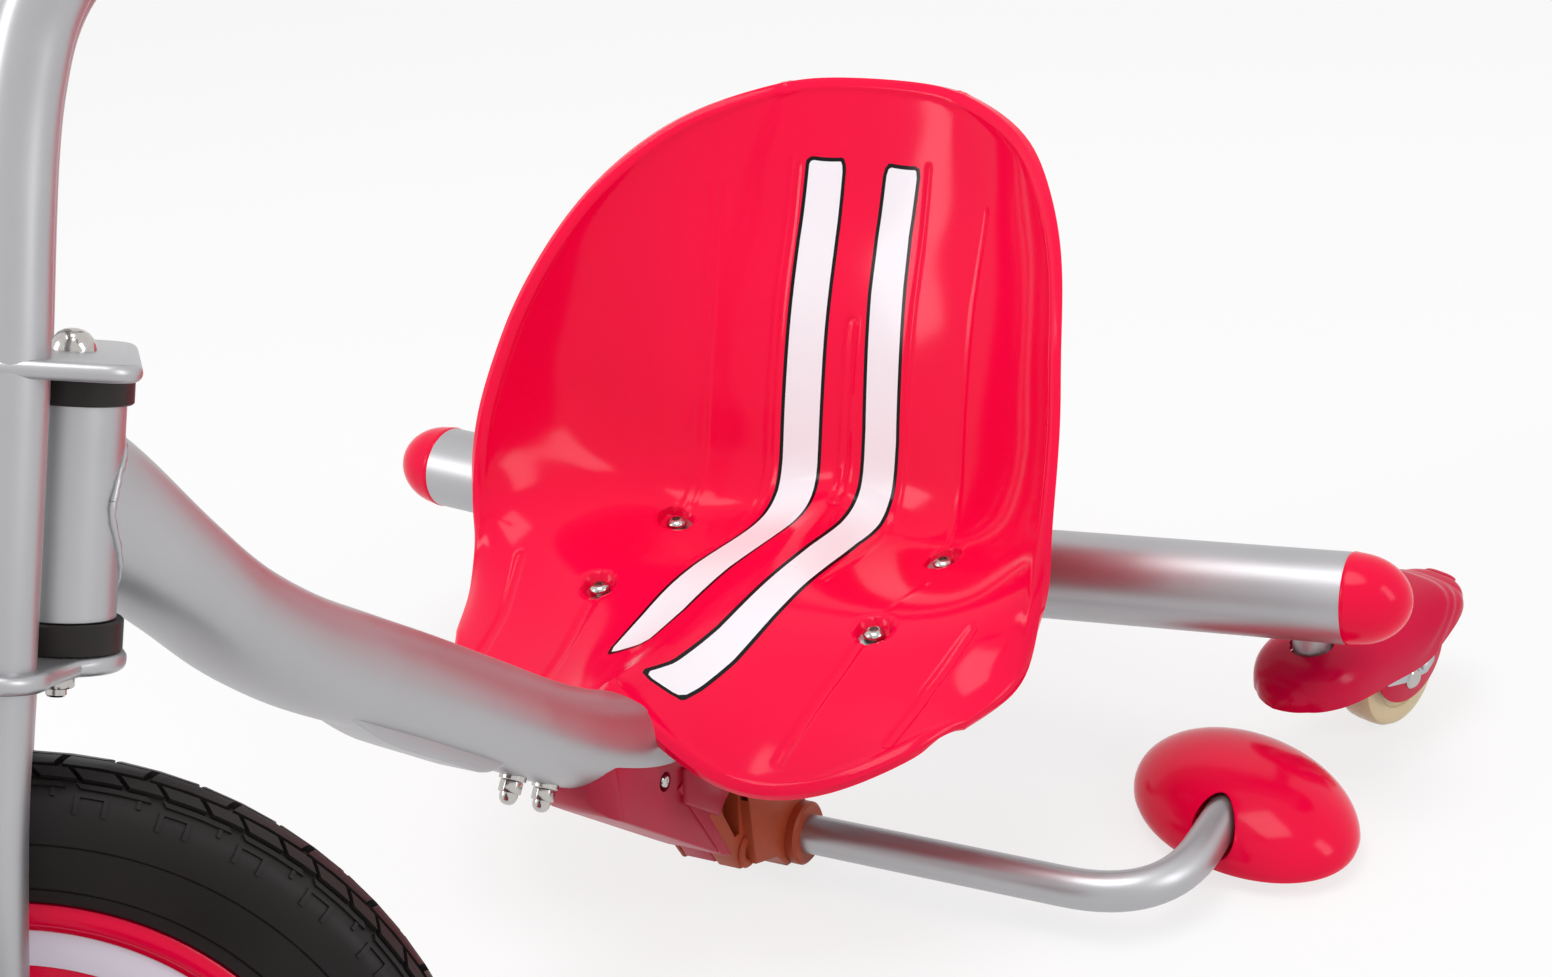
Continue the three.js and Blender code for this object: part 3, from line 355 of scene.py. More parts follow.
def tube(path, radius, around=12, swell=None, place=None):
    """A round tube along places in metres."""
    curve = bpy.data.curves.new("tube", "CURVE")
    curve.dimensions = "3D"
    curve.bevel_depth = radius * MM
    curve.bevel_resolution = around
    curve.use_fill_caps = True
    line = curve.splines.new("POLY")
    line.points.add(len(path) - 1)
    for i, p in enumerate(path):
        line.points[i].co = (*p, 1)
        line.points[i].radius = swell[i] if swell else 1
    piece = bpy.data.objects.new("tube", curve)
    scene.collection.objects.link(piece)
    take(piece)
    bpy.ops.object.convert(target="MESH")
    piece = bpy.context.object
    tidy(piece, 0.001)
    return settle(piece, place)


def grid(across, along):
    """A flat grid from -1 to 1 both ways, to be moved point by point."""
    deselect()
    bpy.ops.mesh.primitive_grid_add(x_subdivisions=across, y_subdivisions=along, size=2)
    return bpy.context.object


def block(low, high, place=None):
    """A block between two corners in mm."""
    deselect()
    low, high = Vector(low) * MM, Vector(high) * MM
    bpy.ops.mesh.primitive_cube_add(size=1, location=(low + high) / 2, scale=high - low)
    return settle(bpy.context.object, place)


def apply(piece, mod):
    take(piece)
    bpy.ops.object.modifier_apply(modifier=mod.name)
    return piece


def soften(piece, width, steps=3, angle=40):
    """Rounds edges sharper than the angle."""
    mod = piece.modifiers.new("soften", "BEVEL")
    mod.width = width * MM
    mod.segments = steps
    mod.limit_method = "ANGLE"
    mod.angle_limit = math.radians(angle)
    return apply(piece, mod)


def thicken(piece, wall, offset):
    """Gives a sheet its thickness in mm."""
    mod = piece.modifiers.new("wall", "SOLIDIFY")
    mod.thickness = wall * MM
    mod.offset = offset
    return apply(piece, mod)


def cut(piece, tool, way="DIFFERENCE"):
    mod = piece.modifiers.new("cut", "BOOLEAN")
    mod.operation = way
    mod.solver = "EXACT"
    mod.object = tool
    apply(piece, mod)
    bpy.data.objects.remove(tool)


def join(pieces):
    deselect()
    for piece in pieces:
        piece.select_set(True)
    bpy.context.view_layer.objects.active = pieces[0]
    bpy.ops.object.join()
    return bpy.context.object


def copy_of(piece, place):
    other = bpy.data.objects.new(piece.name + "_copy", piece.data.copy())
    scene.collection.objects.link(other)
    other.data.transform(place)
    if place.determinant() < 0:
        other.data.flip_normals()
    return other


MIRROR = Matrix.Diagonal((-1, 1, 1, 1))


def dress(piece, name, body, look, *nodes, angle=35):
    """Names a piece, gives it its look and ties it to its body."""
    slot, material = look
    piece.name = name
    piece.data.name = name
    piece.data.materials.clear()
    piece.data.materials.append(material)
    take(piece)
    bpy.ops.object.shade_smooth_by_angle(angle=math.radians(angle))
    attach(piece, body)
    if nodes:
        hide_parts(*nodes)
    print(name, len(piece.data.polygons), "faces")


def both_sides(piece, name, bodies, look, *nodes, angle=35):
    """Dresses a left piece and its mirror image on the right."""
    other = copy_of(piece, MIRROR)
    for one, body, (side, word) in zip((piece, other), bodies, SIDES):
        dress(one, f"{name}_{word}", body, look, *[f"{node}_{word}" for node in nodes], angle=angle)


print("moves ready")

# %% A smooth line through given points
def through(points, share):
    """Place on a curve that passes through all points, at a share of their count."""
    last = len(points) - 1
    i = min(int(share * last), last - 1)
    s = share * last - i
    p1, p2 = points[i], points[i + 1]
    p0 = points[i - 1] if i > 0 else 2 * points[0] - points[1]
    p3 = points[i + 2] if i + 2 <= last else 2 * points[last] - points[last - 1]
    d0, d1, d2 = [max(np.linalg.norm(b - a), 1e-9) ** 0.5 for a, b in ((p0, p1), (p1, p2), (p2, p3))]
    m1 = ((p1 - p0) / d0 - (p2 - p0) / (d0 + d1) + (p2 - p1) / d1) * d1
    m2 = ((p2 - p1) / d1 - (p3 - p1) / (d1 + d2) + (p3 - p2) / d2) * d1
    return ((2 * s**3 - 3 * s**2 + 1) * p1 + (s**3 - 2 * s**2 + s) * m1
            + (3 * s**2 - 2 * s**3) * p2 + (s**3 - s**2) * m2)


def evenly(points, steps):
    """The same curve as evenly spaced places."""
    rough = np.array([through(points, k / 600) for k in range(601)])
    run = np.concatenate([[0], np.cumsum(np.linalg.norm(np.diff(rough, axis=0), axis=1))])
    want = np.linspace(0, run[-1], steps + 1)
    return [Vector([float(np.interp(w, run, rough[:, k])) for k in range(3)]) for w in want]


def rounded(points, radius, steps=10):
    """Straight runs with rounded corners, in metres."""
    path = [points[0]]
    for before, corner, after in zip(points, points[1:], points[2:]):
        enter = corner + (before - corner).normalized() * radius
        leave = corner + (after - corner).normalized() * radius
        for k in range(steps + 1):
            s = k / steps
            path.append(enter * (1 - s) ** 2 + corner * 2 * s * (1 - s) + leave * s**2)
    path.append(points[-1])
    return path


print("lines ready")

# %% [markdown]
# ## Frame tubes
# The main tube leaves the head, sinks in one long bend and runs flat under the seat to the cross
# tube. It has many more sides than the CAD's, because a tube shows every facet in reflections.

# %% Main tube and cross tube
NECK = [(1, 1), (0.974, 0.956), (0.918, 0.823), (0.873, 0.717), (0.821, 0.622), (0.762, 0.534),
        (0.699, 0.442), (0.622, 0.326), (0.546, 0.212), (0.487, 0.136), (0.417, 0.068),
        (0.348, 0.035), (0.261, 0.018), (0.104, 0.006), (0, 0.006)]
neck_points = [np.array(at(0, -575 * y, REAR_HIGH + 339 * z)) for y, z in NECK]
neck_line = evenly(neck_points, 120)
ahead_of_neck = neck_line[0] * 3 - neck_line[1] * 2
main_tube = tube([ahead_of_neck] + neck_line[:-3], TUBE, around=22)


def neck_frame(i):
    """How oval the tube is at a step of its line, and which way is up there."""
    lie = (neck_line[i + 1] - neck_line[max(i - 1, 0)]).normalized()
    return max(0.0, 1 - i / 17) ** 1.5, Vector((1, 0, 0)).cross(lie)


TALLER, NARROWER, LIFT = 0.24, 0.19, Vector((0, 0, 2)) * MM
line_points = np.array([tuple(p) for p in neck_line[:119]])
for vertex in main_tube.data.vertices:
    i = int(np.argmin(np.linalg.norm(line_points - np.array(vertex.co), axis=1)))
    oval, over = neck_frame(i)
    off = vertex.co - neck_line[i]
    vertex.co += over * (off.dot(over) * TALLER * oval) + LIFT * oval
    vertex.co.x -= off.x * NARROWER * oval
cut(main_tube, turned([(TINY, -60), (21.1, -60), (21.1, 200), (TINY, 200)], 64, HEAD))
cut(main_tube, block((-60, -120, -60), (60, -0.5, 200), HEAD))
dress(main_tube, "main_tube_smooth", "frame", silver, "main_tube", angle=50)

# %% [markdown]
# The tube's end is pressed into an upright oval where it meets the head. The weld is a bead
# along that seam: each of its points is found by walking along the tube's side to the head.

# %% Weld at the head
into_head = HEAD.inverted()
bead = []
BEAD = 80
for k in range(BEAD):
    turn = k * math.tau / BEAD
    for j in range(61):
        i, part = divmod(30 - j * 0.5, 1)
        i = int(i)
        oval, over = neck_frame(i)
        spot = neck_line[i].lerp(neck_line[i + 1], part) + LIFT * oval
        spot += Vector((TUBE * MM * (1 - NARROWER * oval) * math.cos(turn), 0, 0))
        spot += over * TUBE * MM * (1 + TALLER * oval) * math.sin(turn)
        local = into_head @ spot
        if math.hypot(local.x, local.y) < 0.0214:
            break
    bead.append(spot)
for again in range(4):
    bead = [(bead[k - 1] + bead[k] * 2 + bead[(k + 1) % BEAD]) / 4 for k in range(BEAD)]
ripples = [1 + 0.14 * math.sin(k * 2.4) for k in range(BEAD + 1)]
weld = tube(bead + bead[:1], 1.7, around=6, swell=ripples)
dress(weld, "head_weld", "frame", silver, angle=60)

# %% [markdown]
# The cross tube is bent too: two straight runs that meet in a rounded corner at the middle. A curve
# with a round bevel is enough here, because the tube stays round all along.

# %% Cross tube
rear_points = [at(-299, 21, 132.5), at(0, 0, REAR_HIGH), at(299, 21, 132.5)]
rear_tube = tube(rounded(rear_points, 0.05), TUBE, around=22)
dress(rear_tube, "rear_tube_smooth", "frame", silver, "rear_tube", angle=60)

# %% [markdown]
# The cross tube ends in soft plastic caps. Each is one turned dome with a thin rolled seam where
# it meets the tube. The left one is made and the right one is its mirror image.

# %% End caps
dome = [(24.6, -1.5), (25.4, 0.2), (25.9, 1.6), (25.7, 3.2)]
dome += [(25.4 * math.cos(a), 3 + 31 * math.sin(a)) for a in [k * math.pi / 28 for k in range(1, 15)]]
end_axis = (rear_points[2] - rear_points[1]).normalized()
cap = turned([(TINY, -1.5)] + dome[:-1] + [(TINY, 34.3)], 72,
             Matrix.Translation(rear_points[2]) @ facing(end_axis))
both_sides(cap, "end_cap", ("frame", "frame"), red, "rear_cap", angle=50)

# %% [markdown]
# ## Steering head
# A short thick tube between two black bearing cups. The fork turns about the bolt through it. All
# of these are round about one axis, so each is an outline, turned.

# %% Head tube, cups, bolt and nut
head = turned([(17, 28.4), (20.6, 28.4), (20.9, 28.8), (20.9, 111.6), (20.6, 112), (17, 112), (17, 28.4)],
              72, HEAD)
dress(head, "head_tube_smooth", "frame", silver, "head_tube")
for word, low, high, radius in (("lower", 16, 28.1, 23.8), ("upper", 110.2, 122.4, 23.6)):
    cup = turned([(5, low), (radius - 0.6, low), (radius, low + 0.6), (radius, high - 0.6),
                  (radius - 0.6, high), (5, high), (5, low)], 72, HEAD)
    dress(cup, "cup_" + word, "frame", black, "head_cup_" + word)
bolt = turned([(TINY, 120), (8.8, 120), (8.8, 130.2), (8.4, 132), (7.4, 134.2), (5.8, 136),
               (3.6, 137.2), (1.6, 137.7), (TINY, 137.8)], 48, FORK)
dress(bolt, "kingpin_dome", "steering", bright, "kingpin")
nut = turned([(TINY, -3), (3.4, -3), (4, -2.2), (4, 0.6), (6.4, 0.6), (6.8, 1.2), (6.8, 5), (9, 5.6),
              (9.2, 8.5), (TINY, 8.5)], 36, FORK)
dress(nut, "kingpin_nut_round", "steering", bright, "kingpin_nut")

# %% [markdown]
# The two plates are thick pressings with well-rounded rims. Each outline is a few arcs, drawn up
# and bevelled, and the upper plate is hollowed from below so that its rim hangs over.

# %% Fork plates
def corner_arc(x, y, radius, start, stop, steps=8):
    return [(x + radius * math.cos(start + (stop - start) * k / steps),
             y + radius * math.sin(start + (stop - start) * k / steps)) for k in range(steps + 1)]


corners = ((45.5, -27), (45.5, 12), (-45.5, 12), (-45.5, -27))
upper = sum([corner_arc(x, y, 13, (k - 1) * Q, k * Q) for k, (x, y) in enumerate(corners)], [])
upper_plate = soften(plate(upper, 122.6, 129.6, FORK), 3.3, 5)
under = plate([(x * 0.93, (y + 7.5) * 0.9 - 7.5) for x, y in upper], 110, 124.4, FORK)
cut(upper_plate, under)
dress(upper_plate, "upper_plate_pressed", "steering", silver, "upper_plate")
lower = corner_arc(44, -21.5, 20.3, -Q, Q, 10) + corner_arc(0, 0, 25.5, 0.35, math.pi - 0.35, 12)
lower += corner_arc(-44, -21.5, 20.3, Q, 3 * Q, 10)
lower_plate = soften(plate(lower, 8.6, 15.9, FORK), 2.8, 4)
dress(lower_plate, "lower_plate_pressed", "steering", silver, "lower_plate")

# %% [markdown]
# ## Fork legs and handlebar
# Each leg is one tube that rises from the axle, passes through both plates and bends back and
# out to the grip. A round eye at the foot takes the axle. Both legs use one line, mirrored.

# %% Fork legs
LEG = [(0.008, 0.054, 0.21), (0.069, 0.230, 0.43), (0.286, 0.429, 0.69), (0.60, 0.69, 0.89), (1, 1, 1)]
leg_points = [(LEG_OUT, y, z) for y, z in ((-12, -193.39), (-16.75, -132.2), (-21.5, -44), (-21.5, 0),
                                           (-21.5, 112.5), (-21.5, 225))]
leg_points += [(LEG_OUT + x * 231, -21.5 + y * 147, 225 + z * 175) for x, y, z in LEG]
leg_line = evenly([np.array(p) * MM for p in leg_points], 150)
for side, word in SIDES:
    path = [Vector((side * p.x, p.y, p.z)) for p in leg_line]
    leg = tube(path, LEG_TUBE, around=14, place=FORK)
    foot = turned([(TINY, -5), (14, -5), (15, -4), (15, 4), (14, 5), (TINY, 5)], 40,
                  WHEEL @ moved(side * LEG_OUT, 0, 0) @ TO_X)
    middle = side * LEG_OUT
    tang = soften(block((middle - 5, -11, 2), (middle + 5, 11, 40), WHEEL), 2)
    dress(join([leg, foot, tang]), "leg_tube_" + word, "steering", silver, "fork_leg_" + word, angle=45)
cross = turned([(9.5, -31), (9.5, 31)], 40, FORK @ moved(0, -21.5, 196) @ TO_X)
dress(cross, "cross_brace", "steering", silver, "cross_tube", angle=60)

# %% [markdown]
# A grip is a rubber sleeve with a thick collar and fine ribs. It follows the last stretch of the
# leg's own line, so it sits on the bar exactly, and its ribs are small changes of the tube's radius
# from step to step, which takes far fewer faces than cutting each rib.

# %% Grips
grip_line = leg_line[-29:]
for side, word in SIDES:
    path = [Vector((side * p.x, p.y, p.z)) for p in grip_line]
    fine = []
    for a, b in zip(path, path[1:]):
        fine += [a.lerp(b, k / 4) for k in range(4)]
    swell = [1.12 if i < 6 else (1.0 if i % 4 < 2 else 0.93) for i in range(len(fine))]
    sleeve = tube(fine, 18.4, around=10, swell=swell, place=FORK)
    end = turned([(17.5, -3), (18.4, -1.5), (18.4, 5), (16.5, 10), (11, 14.5), (5, 16.8), (TINY, 17.4)], 40,
                 FORK @ Matrix.Translation(path[-1]) @ facing((path[-1] - path[-2]).normalized()))
    dress(join([sleeve, end]), "grip_ribbed_" + word, "steering", rubber, "grip_" + word, angle=30)

# %% [markdown]
# ## Seat
# The bucket is one moulded sheet. It starts as a fine grid, and each point is moved to its place
# on the shell: a line down the middle, a line round the rim, and a soft curve between the two.
# Shallow grooves are pressed in along lines, the rim is rolled over, and the sheet then gets its
# thickness and a rounded edge. Primitives joined together would show their seams in the gloss.

# %% Seat shell
SEAT = [(-0.728, 0.244, 0.888, -0.489, 0.060, 0.190), (-0.626, 0.222, 0.936, -0.433, 0.070, 0.129),
        (-0.507, 0.201, 0.982, -0.368, 0.098, 0.083), (-0.326, 0.189, 0.996, -0.329, 0.236, 0.030),
        (-0.170, 0.174, 0.983, -0.297, 0.355, 0.058), (-0.057, 0.163, 0.974, -0.254, 0.458, 0.062),
        (0.000, 0.189, 0.952, -0.198, 0.558, 0.022), (0.034, 0.292, 0.916, -0.140, 0.658, 0),
        (0.088, 0.477, 0.840, -0.024, 0.790, 0), (0.133, 0.595, 0.727, 0.076, 0.882, 0),
        (0.176, 0.693, 0.576, 0.174, 0.945, 0), (0.221, 0.833, 0.352, 0.246, 0.981, 0),
        (0.252, 0.936, 0.330, 0.249, 0.983, 0), (0.271, 0.998, 0.300, 0.253, 0.985, 0)]
RISES = np.linspace(0, 1, 401)
BLUR = 26
HALF_WIDE, LONG, HIGH, FULLER = 180, 353, 264, 1.6


def eased(points):
    """A curve through the rows, averaged along its run so that no row shows as a kink."""
    line = np.array([through(points, k) for k in RISES])
    longer = np.vstack([2 * line[0] - line[BLUR:0:-1], line, 2 * line[-1] - line[-2:-BLUR - 2:-1]])
    share = np.hanning(2 * BLUR + 3)[1:-1]
    return np.stack([np.convolve(row, share / share.sum(), "valid") for row in longer.T], 1)


middle = eased([np.array((0, row[0], row[1])) for row in SEAT])
edge = eased([np.array(row[2:5]) for row in SEAT])
dips = eased([np.array(row[5:6]) for row in SEAT])[:, 0]


def shell(across, rise):
    """Places on the shell in mm, for arrays from -1 to 1 across and 0 to 1 from lip to top."""
    cy, cz = [np.interp(rise, RISES, middle[:, k]) for k in (1, 2)]
    rx, ry, rz = [np.interp(rise, RISES, edge[:, k]) for k in range(3)]
    dip = np.interp(rise, RISES, dips)
    u = np.abs(across)
    outer = u * u
    x = (FULLER * u * (1 - u) + outer) * rx * np.sign(across)
    y = (1 - outer) * cy + outer * ry
    w = u**0.62
    z = (1 - outer) * cz + outer * rz - np.abs(np.sin(np.pi * w)) ** np.where(w < 0.5, 2, 1.45) * dip
    return np.stack([x * HALF_WIDE, y * LONG + REAR, z * HIGH + REAR_HIGH], -1)


def on_shell(line, steps=10):
    """Places in mm along a line drawn as mm sideways and rise."""
    line = np.array(line)
    t = np.linspace(0, len(line) - 1, (len(line) - 1) * steps + 1)
    side, rise = [np.interp(t, range(len(line)), line[:, k]) for k in (0, 1)]
    part = np.abs(side) / HALF_WIDE / np.interp(rise, RISES, edge[:, 0])
    root = np.sqrt(np.maximum(FULLER**2 - 4 * (FULLER - 1) * part, 0))
    across = np.sign(side) * (FULLER - root) / (2 * (FULLER - 1))
    return shell(across, rise)


def nearest(points, line):
    """Distance in mm from each point to a line of places."""
    best = np.full(len(points), 1e9)
    for a, b in zip(line, line[1:]):
        d = b - a
        t = np.clip(((points - a) @ d) / max(d @ d, 1e-9), 0, 1)
        best = np.minimum(best, np.linalg.norm(points - (a + t[:, None] * d), axis=1))
    return best


GROOVES = [
    ([(-93.5, 0.742), (-90.2, 0.626), (-89.5, 0.533), (-88.8, 0.43), (-88.8, 0.385)], 1.3, 0.55),
    ([(-87.6, 0.749), (-85, 0.629), (-84.5, 0.536), (-84, 0.47), (-84, 0.395)], 1.3, 0.55),
    ([(83.4, 0.752), (81, 0.653), (81, 0.567), (82, 0.47), (83, 0.385)], 1.3, 0.55),
    ([(-43.5, 0.82), (-44, 0.66), (-43.3, 0.462), (-44.5, 0.37), (-47, 0.26)], 1.4, 0.7),
    ([(-47.6, 0.82), (-48.2, 0.66), (-47.3, 0.462), (-48.6, 0.37)], 1.2, 0.5),
    ([(40.5, 0.83), (40.5, 0.66), (41.2, 0.48), (40.5, 0.37), (37.5, 0.26)], 1.5, 0.7),
    ([(93.4, 0.29), (87.8, 0.236)], 1.4, 0.5),
    ([(-93.4, 0.29), (-87.8, 0.236)], 1.4, 0.5),
]
CHANNELS = [([(side * x, rise) for x, rise in line], 2.9, 1.3) for side in (1, -1) for line in (
    [(85, 0.21), (80, 0.136), (78.5, 0.045)], [(143, 0.215), (134, 0.15), (129, 0.055)])]
SLOT = [(1.5, 0.640), (2.5, 0.415)]
DIMPLES = [(87, -129.5), (-87, -129.5), (87, -43.6), (-87, -43.6)]
lines = [(on_shell(line), width, depth, wide)
         for wide, group in ((False, GROOVES), (True, CHANNELS)) for line, width, depth in group]
slot_line = on_shell(SLOT)
ups, overs = np.linspace(0, 1, 91), np.linspace(-1, 1, 61)
rim_line = np.vstack([shell(ups * 0 + 1, ups), shell(-overs, overs * 0 + 1),
                      shell(ups * 0 - 1, ups[::-1]), shell(overs, overs * 0)])


def seat_state():
    """Each point's own terms and its place on the smooth shell."""
    terms = np.array([(v.co.x, (v.co.y + 1) / 2) for v in seat.data.vertices])
    return terms, shell(terms[:, 0], terms[:, 1])


def from_dimple(x, y):
    """Level distance in mm from each point to a dimple's middle."""
    return np.hypot(places[:, 0] - x, places[:, 1] - REAR - y)


seat = grid(104, 124)
params, places = seat_state()
busy = np.minimum(nearest(places, rim_line), nearest(places, slot_line) + 1)
for line, width, depth, wide in lines:
    busy = np.minimum(busy, nearest(places, line))
for x, y in DIMPLES:
    busy = np.minimum(busy, np.abs(from_dimple(x, y) - 9.7))
for item in (*seat.data.polygons, *seat.data.edges, *seat.data.vertices):
    item.select = False
for face in seat.data.polygons:
    if min(busy[i] for i in face.vertices) < 5.5:
        face.select = True
        for i in face.vertices:
            seat.data.vertices[i].select = True
bpy.ops.object.mode_set(mode="EDIT")
bpy.ops.mesh.select_mode(type="FACE")
bpy.ops.mesh.subdivide(number_cuts=2)
edit_done()
params, places = seat_state()
for vertex, p in zip(seat.data.vertices, places):
    vertex.co = Vector(p) * MM
seat.data.update()
inner_a, inner_b = np.clip(params[:, 0], -0.96, 0.96), np.clip(params[:, 1], 0.01, 0.95)
along_a = shell(inner_a + 0.01, inner_b) - shell(inner_a - 0.01, inner_b)
along_b = shell(inner_a, inner_b + 0.01) - shell(inner_a, inner_b - 0.01)
normals = np.cross(along_a, along_b)
normals /= np.linalg.norm(normals, axis=1)[:, None]
press = np.zeros(len(places))
for line, width, depth, wide in lines:
    d = nearest(places, line)
    press += depth * (np.clip((width + 0.9 - d) / 1.8, 0, 1) if wide else np.exp(-((d / width) ** 2)))
ring = np.abs(nearest(places, slot_line) - 2.6)
press += 0.9 * np.exp(-((ring / 1.1) ** 2))
for x, y in DIMPLES:
    d = from_dimple(x, y)
    press += 5.4 * np.clip((10.4 - d) / 1.5, 0, 1) + 0.5 * np.exp(-(((d - 11.4) / 1.4) ** 2))
rim_far = nearest(places, rim_line)
press += 2.4 * np.clip(1 - rim_far / 4.5, 0, 1) ** 2 - 0.6 * np.exp(-(((rim_far - 5.5) / 1.8) ** 2))
for vertex, p, n, deep in zip(seat.data.vertices, places, normals, press):
    vertex.co = Vector(p - n * deep) * MM
print("seat shell", len(places), "points, deepest press", round(float(press.max()), 2), "mm")

# %% [markdown]
# The stripes are two white bands with a thin dark border that run down the back, kink at the
# crease and run forward to the lip. Each point of the shell stores how far inside a band it lies,
# and the finish turns that distance into white, border or plastic. A distance blends evenly from
# point to point, so the edges stay crisp.

# %% Stripes
BANDS = [
    [(-36.8, 0.829), (-38.2, 0.74), (-38.0, 0.56), (-37.4, 0.44), (-39.6, 0.36), (-41.3, 0.3), (-41.6, 0.24),
     (-43.4, 0.185), (-46.4, 0.142), (-44.8, 0.137), (-23.5, 0.14), (-21, 0.146), (-17.4, 0.185),
     (-17, 0.25), (-14.6, 0.305), (-12.8, 0.35), (-14, 0.42), (-15.4, 0.5), (-16, 0.62), (-16.2, 0.75),
     (-15.4, 0.835), (-16.6, 0.843), (-35.2, 0.833)],
    [(14.6, 0.841), (13.2, 0.832), (11.4, 0.76), (11.6, 0.68), (13.2, 0.61), (15, 0.54), (15.4, 0.46),
     (14.7, 0.37), (13.2, 0.31), (13.2, 0.24), (13.6, 0.17), (11.2, 0.1), (6.2, 0.062), (7, 0.058),
     (24, 0.064), (27.2, 0.092), (30.4, 0.145), (31.8, 0.22), (31, 0.29), (31.2, 0.345), (34, 0.4),
     (35.3, 0.46), (35.6, 0.53), (34, 0.6), (32, 0.69), (31.2, 0.76), (33, 0.824), (32.2, 0.832)],
]


def within(outline, points):
    """True where a point lies inside a closed outline."""
    found = np.zeros(len(points), bool)
    for (x0, y0), (x1, y1) in zip(outline, outline[1:] + outline[:1]):
        crosses = (y0 > points[:, 1]) != (y1 > points[:, 1])
        if y0 != y1:
            found ^= crosses & (points[:, 0] < (x1 - x0) * (points[:, 1] - y0) / (y1 - y0) + x0)
    return found


drawn = np.stack([places[:, 0], params[:, 1]], 1)
OUTSIDE, SHEET = -9.0, 4
depth_in = np.full(len(places), OUTSIDE)
for band in BANDS:
    far = nearest(places, on_shell(band + band[:1], 6))
    depth_in = np.maximum(depth_in, np.where(within(band, drawn), far, -far))
attribute = seat.data.attributes.new("band", "FLOAT", "POINT")
attribute.data.foreach_set("value", depth_in.astype(np.float32))

seat_red = finish("red_plastic", "seat_gloss", (0.84, 0.0012, 0.048),
                  0.13, 0, 0.03, 6, 0.02, 260, 0.004, 0.15)
tree = seat_red[1].node_tree
stored = add(tree, "Attribute")
stored.attribute_name = "band"
base = tree.nodes["Principled BSDF"].inputs["Base Color"]
plastic = base.links[0].from_socket
for limit, tint in ((-2.3, (0.006, 0.005, 0.006, 1)), (0.0, (0.84, 0.86, 0.90, 1))):
    test = add(tree, "Math", {1: limit})
    test.operation = "GREATER_THAN"
    tree.links.new(stored.outputs["Fac"], test.inputs[0])
    paint = add(tree, "Mix")
    paint.data_type = "RGBA"
    paint.inputs["B"].default_value = tint
    tree.links.new(test.outputs["Value"], paint.inputs["Factor"])
    tree.links.new(plastic, paint.inputs["A"])
    plastic = paint.outputs["Result"]
tree.links.new(plastic, base)

take(seat)
outwards = {tuple(v.co): n for v, n in zip(seat.data.vertices, normals)}
edit_all()
bpy.ops.mesh.extrude_region_move()
edit_done()
stored = seat.data.attributes["band"].data
for vertex in seat.data.vertices:
    if vertex.select:
        stored[vertex.index].value = OUTSIDE
        vertex.co -= Vector(outwards[tuple(vertex.co)]) * SHEET * MM
tidy(seat)
soften(seat, 1.6, 3, 60)
dress(seat, "seat_shell", "frame", seat_red, "seat", angle=40)

# %% [markdown]
# ## Seat screws
# Round-headed socket screws sit at the bottom of the four dimples. A head is turned, and a
# six-sided bar is cut out of it for the key.

# %% Seat screws
for node in [f"seat_screw_{end}_{word}" for end in ("front", "rear") for side, word in SIDES]:
    low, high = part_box(node)
    deselect()
    bpy.ops.mesh.primitive_cylinder_add(vertices=6, radius=0.0026, depth=0.004, location=(0, 0, 0.003))
    socket = bpy.context.object
    screw = turned([(TINY, -17), (3, -17), (3, 0), (6, 0), (6, 1.2), (5.5, 2.2), (4.2, 3.1), (3.4, 3.4),
                    (TINY, 3.4)], 40)
    cut(screw, socket)
    settle(screw, Matrix.Translation(((low.x + high.x) / 2, (low.y + high.y) / 2, high.z - 0.0053)))
    dress(screw, node + "_round", "frame", bright, node)

# %% [markdown]
# ## Front wheel
# The wheel is a moulded disc with a deep hub, a rolled rim and a pale ring on each side. All of it
# is round about the axle, so it is turned from one outline.

# %% Rim and disc
ROUND = WHEEL @ TO_X
rings = [(6.4, 37), (21, 37), (23.4, 35.5), (24, 33), (24.6, 14), (27, 11), (40, 9.6), (109, 9.6),
         (113.5, 11.8), (130, 12.2), (131.2, 13.4), (132.2, 16), (134.6, 17.5), (138, 17.3), (140.4, 15.8),
         (141.2, 13)]
section = [(r, -x) for r, x in rings] + [(r, x) for r, x in reversed(rings)] + [(6.4, -37)]
dress(turned(section, 144, ROUND), "wheel_disc", "front_wheel", red, "front_rim", angle=40)
for side, word in SIDES:
    band = turned([(115.6, side * 11.9), (115.6, side * 12.5), (116, side * 12.7), (128.9, side * 12.9),
                   (129.3, side * 12.7), (129.3, side * 11.9)], 144, ROUND)
    dress(band, "wheel_band_" + word, "front_wheel", ring_white)

# %% [markdown]
# The tyre is turned first, with its bead, sidewall lines and shoulder, and the tread blocks are
# then copied round it. A block is a small grid laid on the tyre's own surface and given height, so
# it follows the shoulder without a gap. One set of blocks is made and repeated 36 times.

# %% Tyre
SECTION = [(141.7, 17), (144, 18.4), (146.5, 19.2), (147, 18.6), (147.7, 19.4), (157, 21.6), (164.5, 22.8),
           (165, 22.3), (165.7, 23.1), (171, 23.8), (177, 23.8), (182, 22.2), (185.6, 19.2), (188.4, 15),
           (190.8, 10), (192.2, 5), (192.6, 0)]
tyre = turned(SECTION + [(r, -x) for r, x in reversed(SECTION[:-1])] + [SECTION[0]], 180, ROUND)

half = SECTION[8:]
curve_r, curve_x = np.array(half + [(r, -x) for r, x in reversed(half[:-1])]).T
curve_run = np.concatenate([[0], np.cumsum(np.hypot(np.diff(curve_r), np.diff(curve_x)))])
crown = curve_run[-1] / 2
SUNK = 0.3


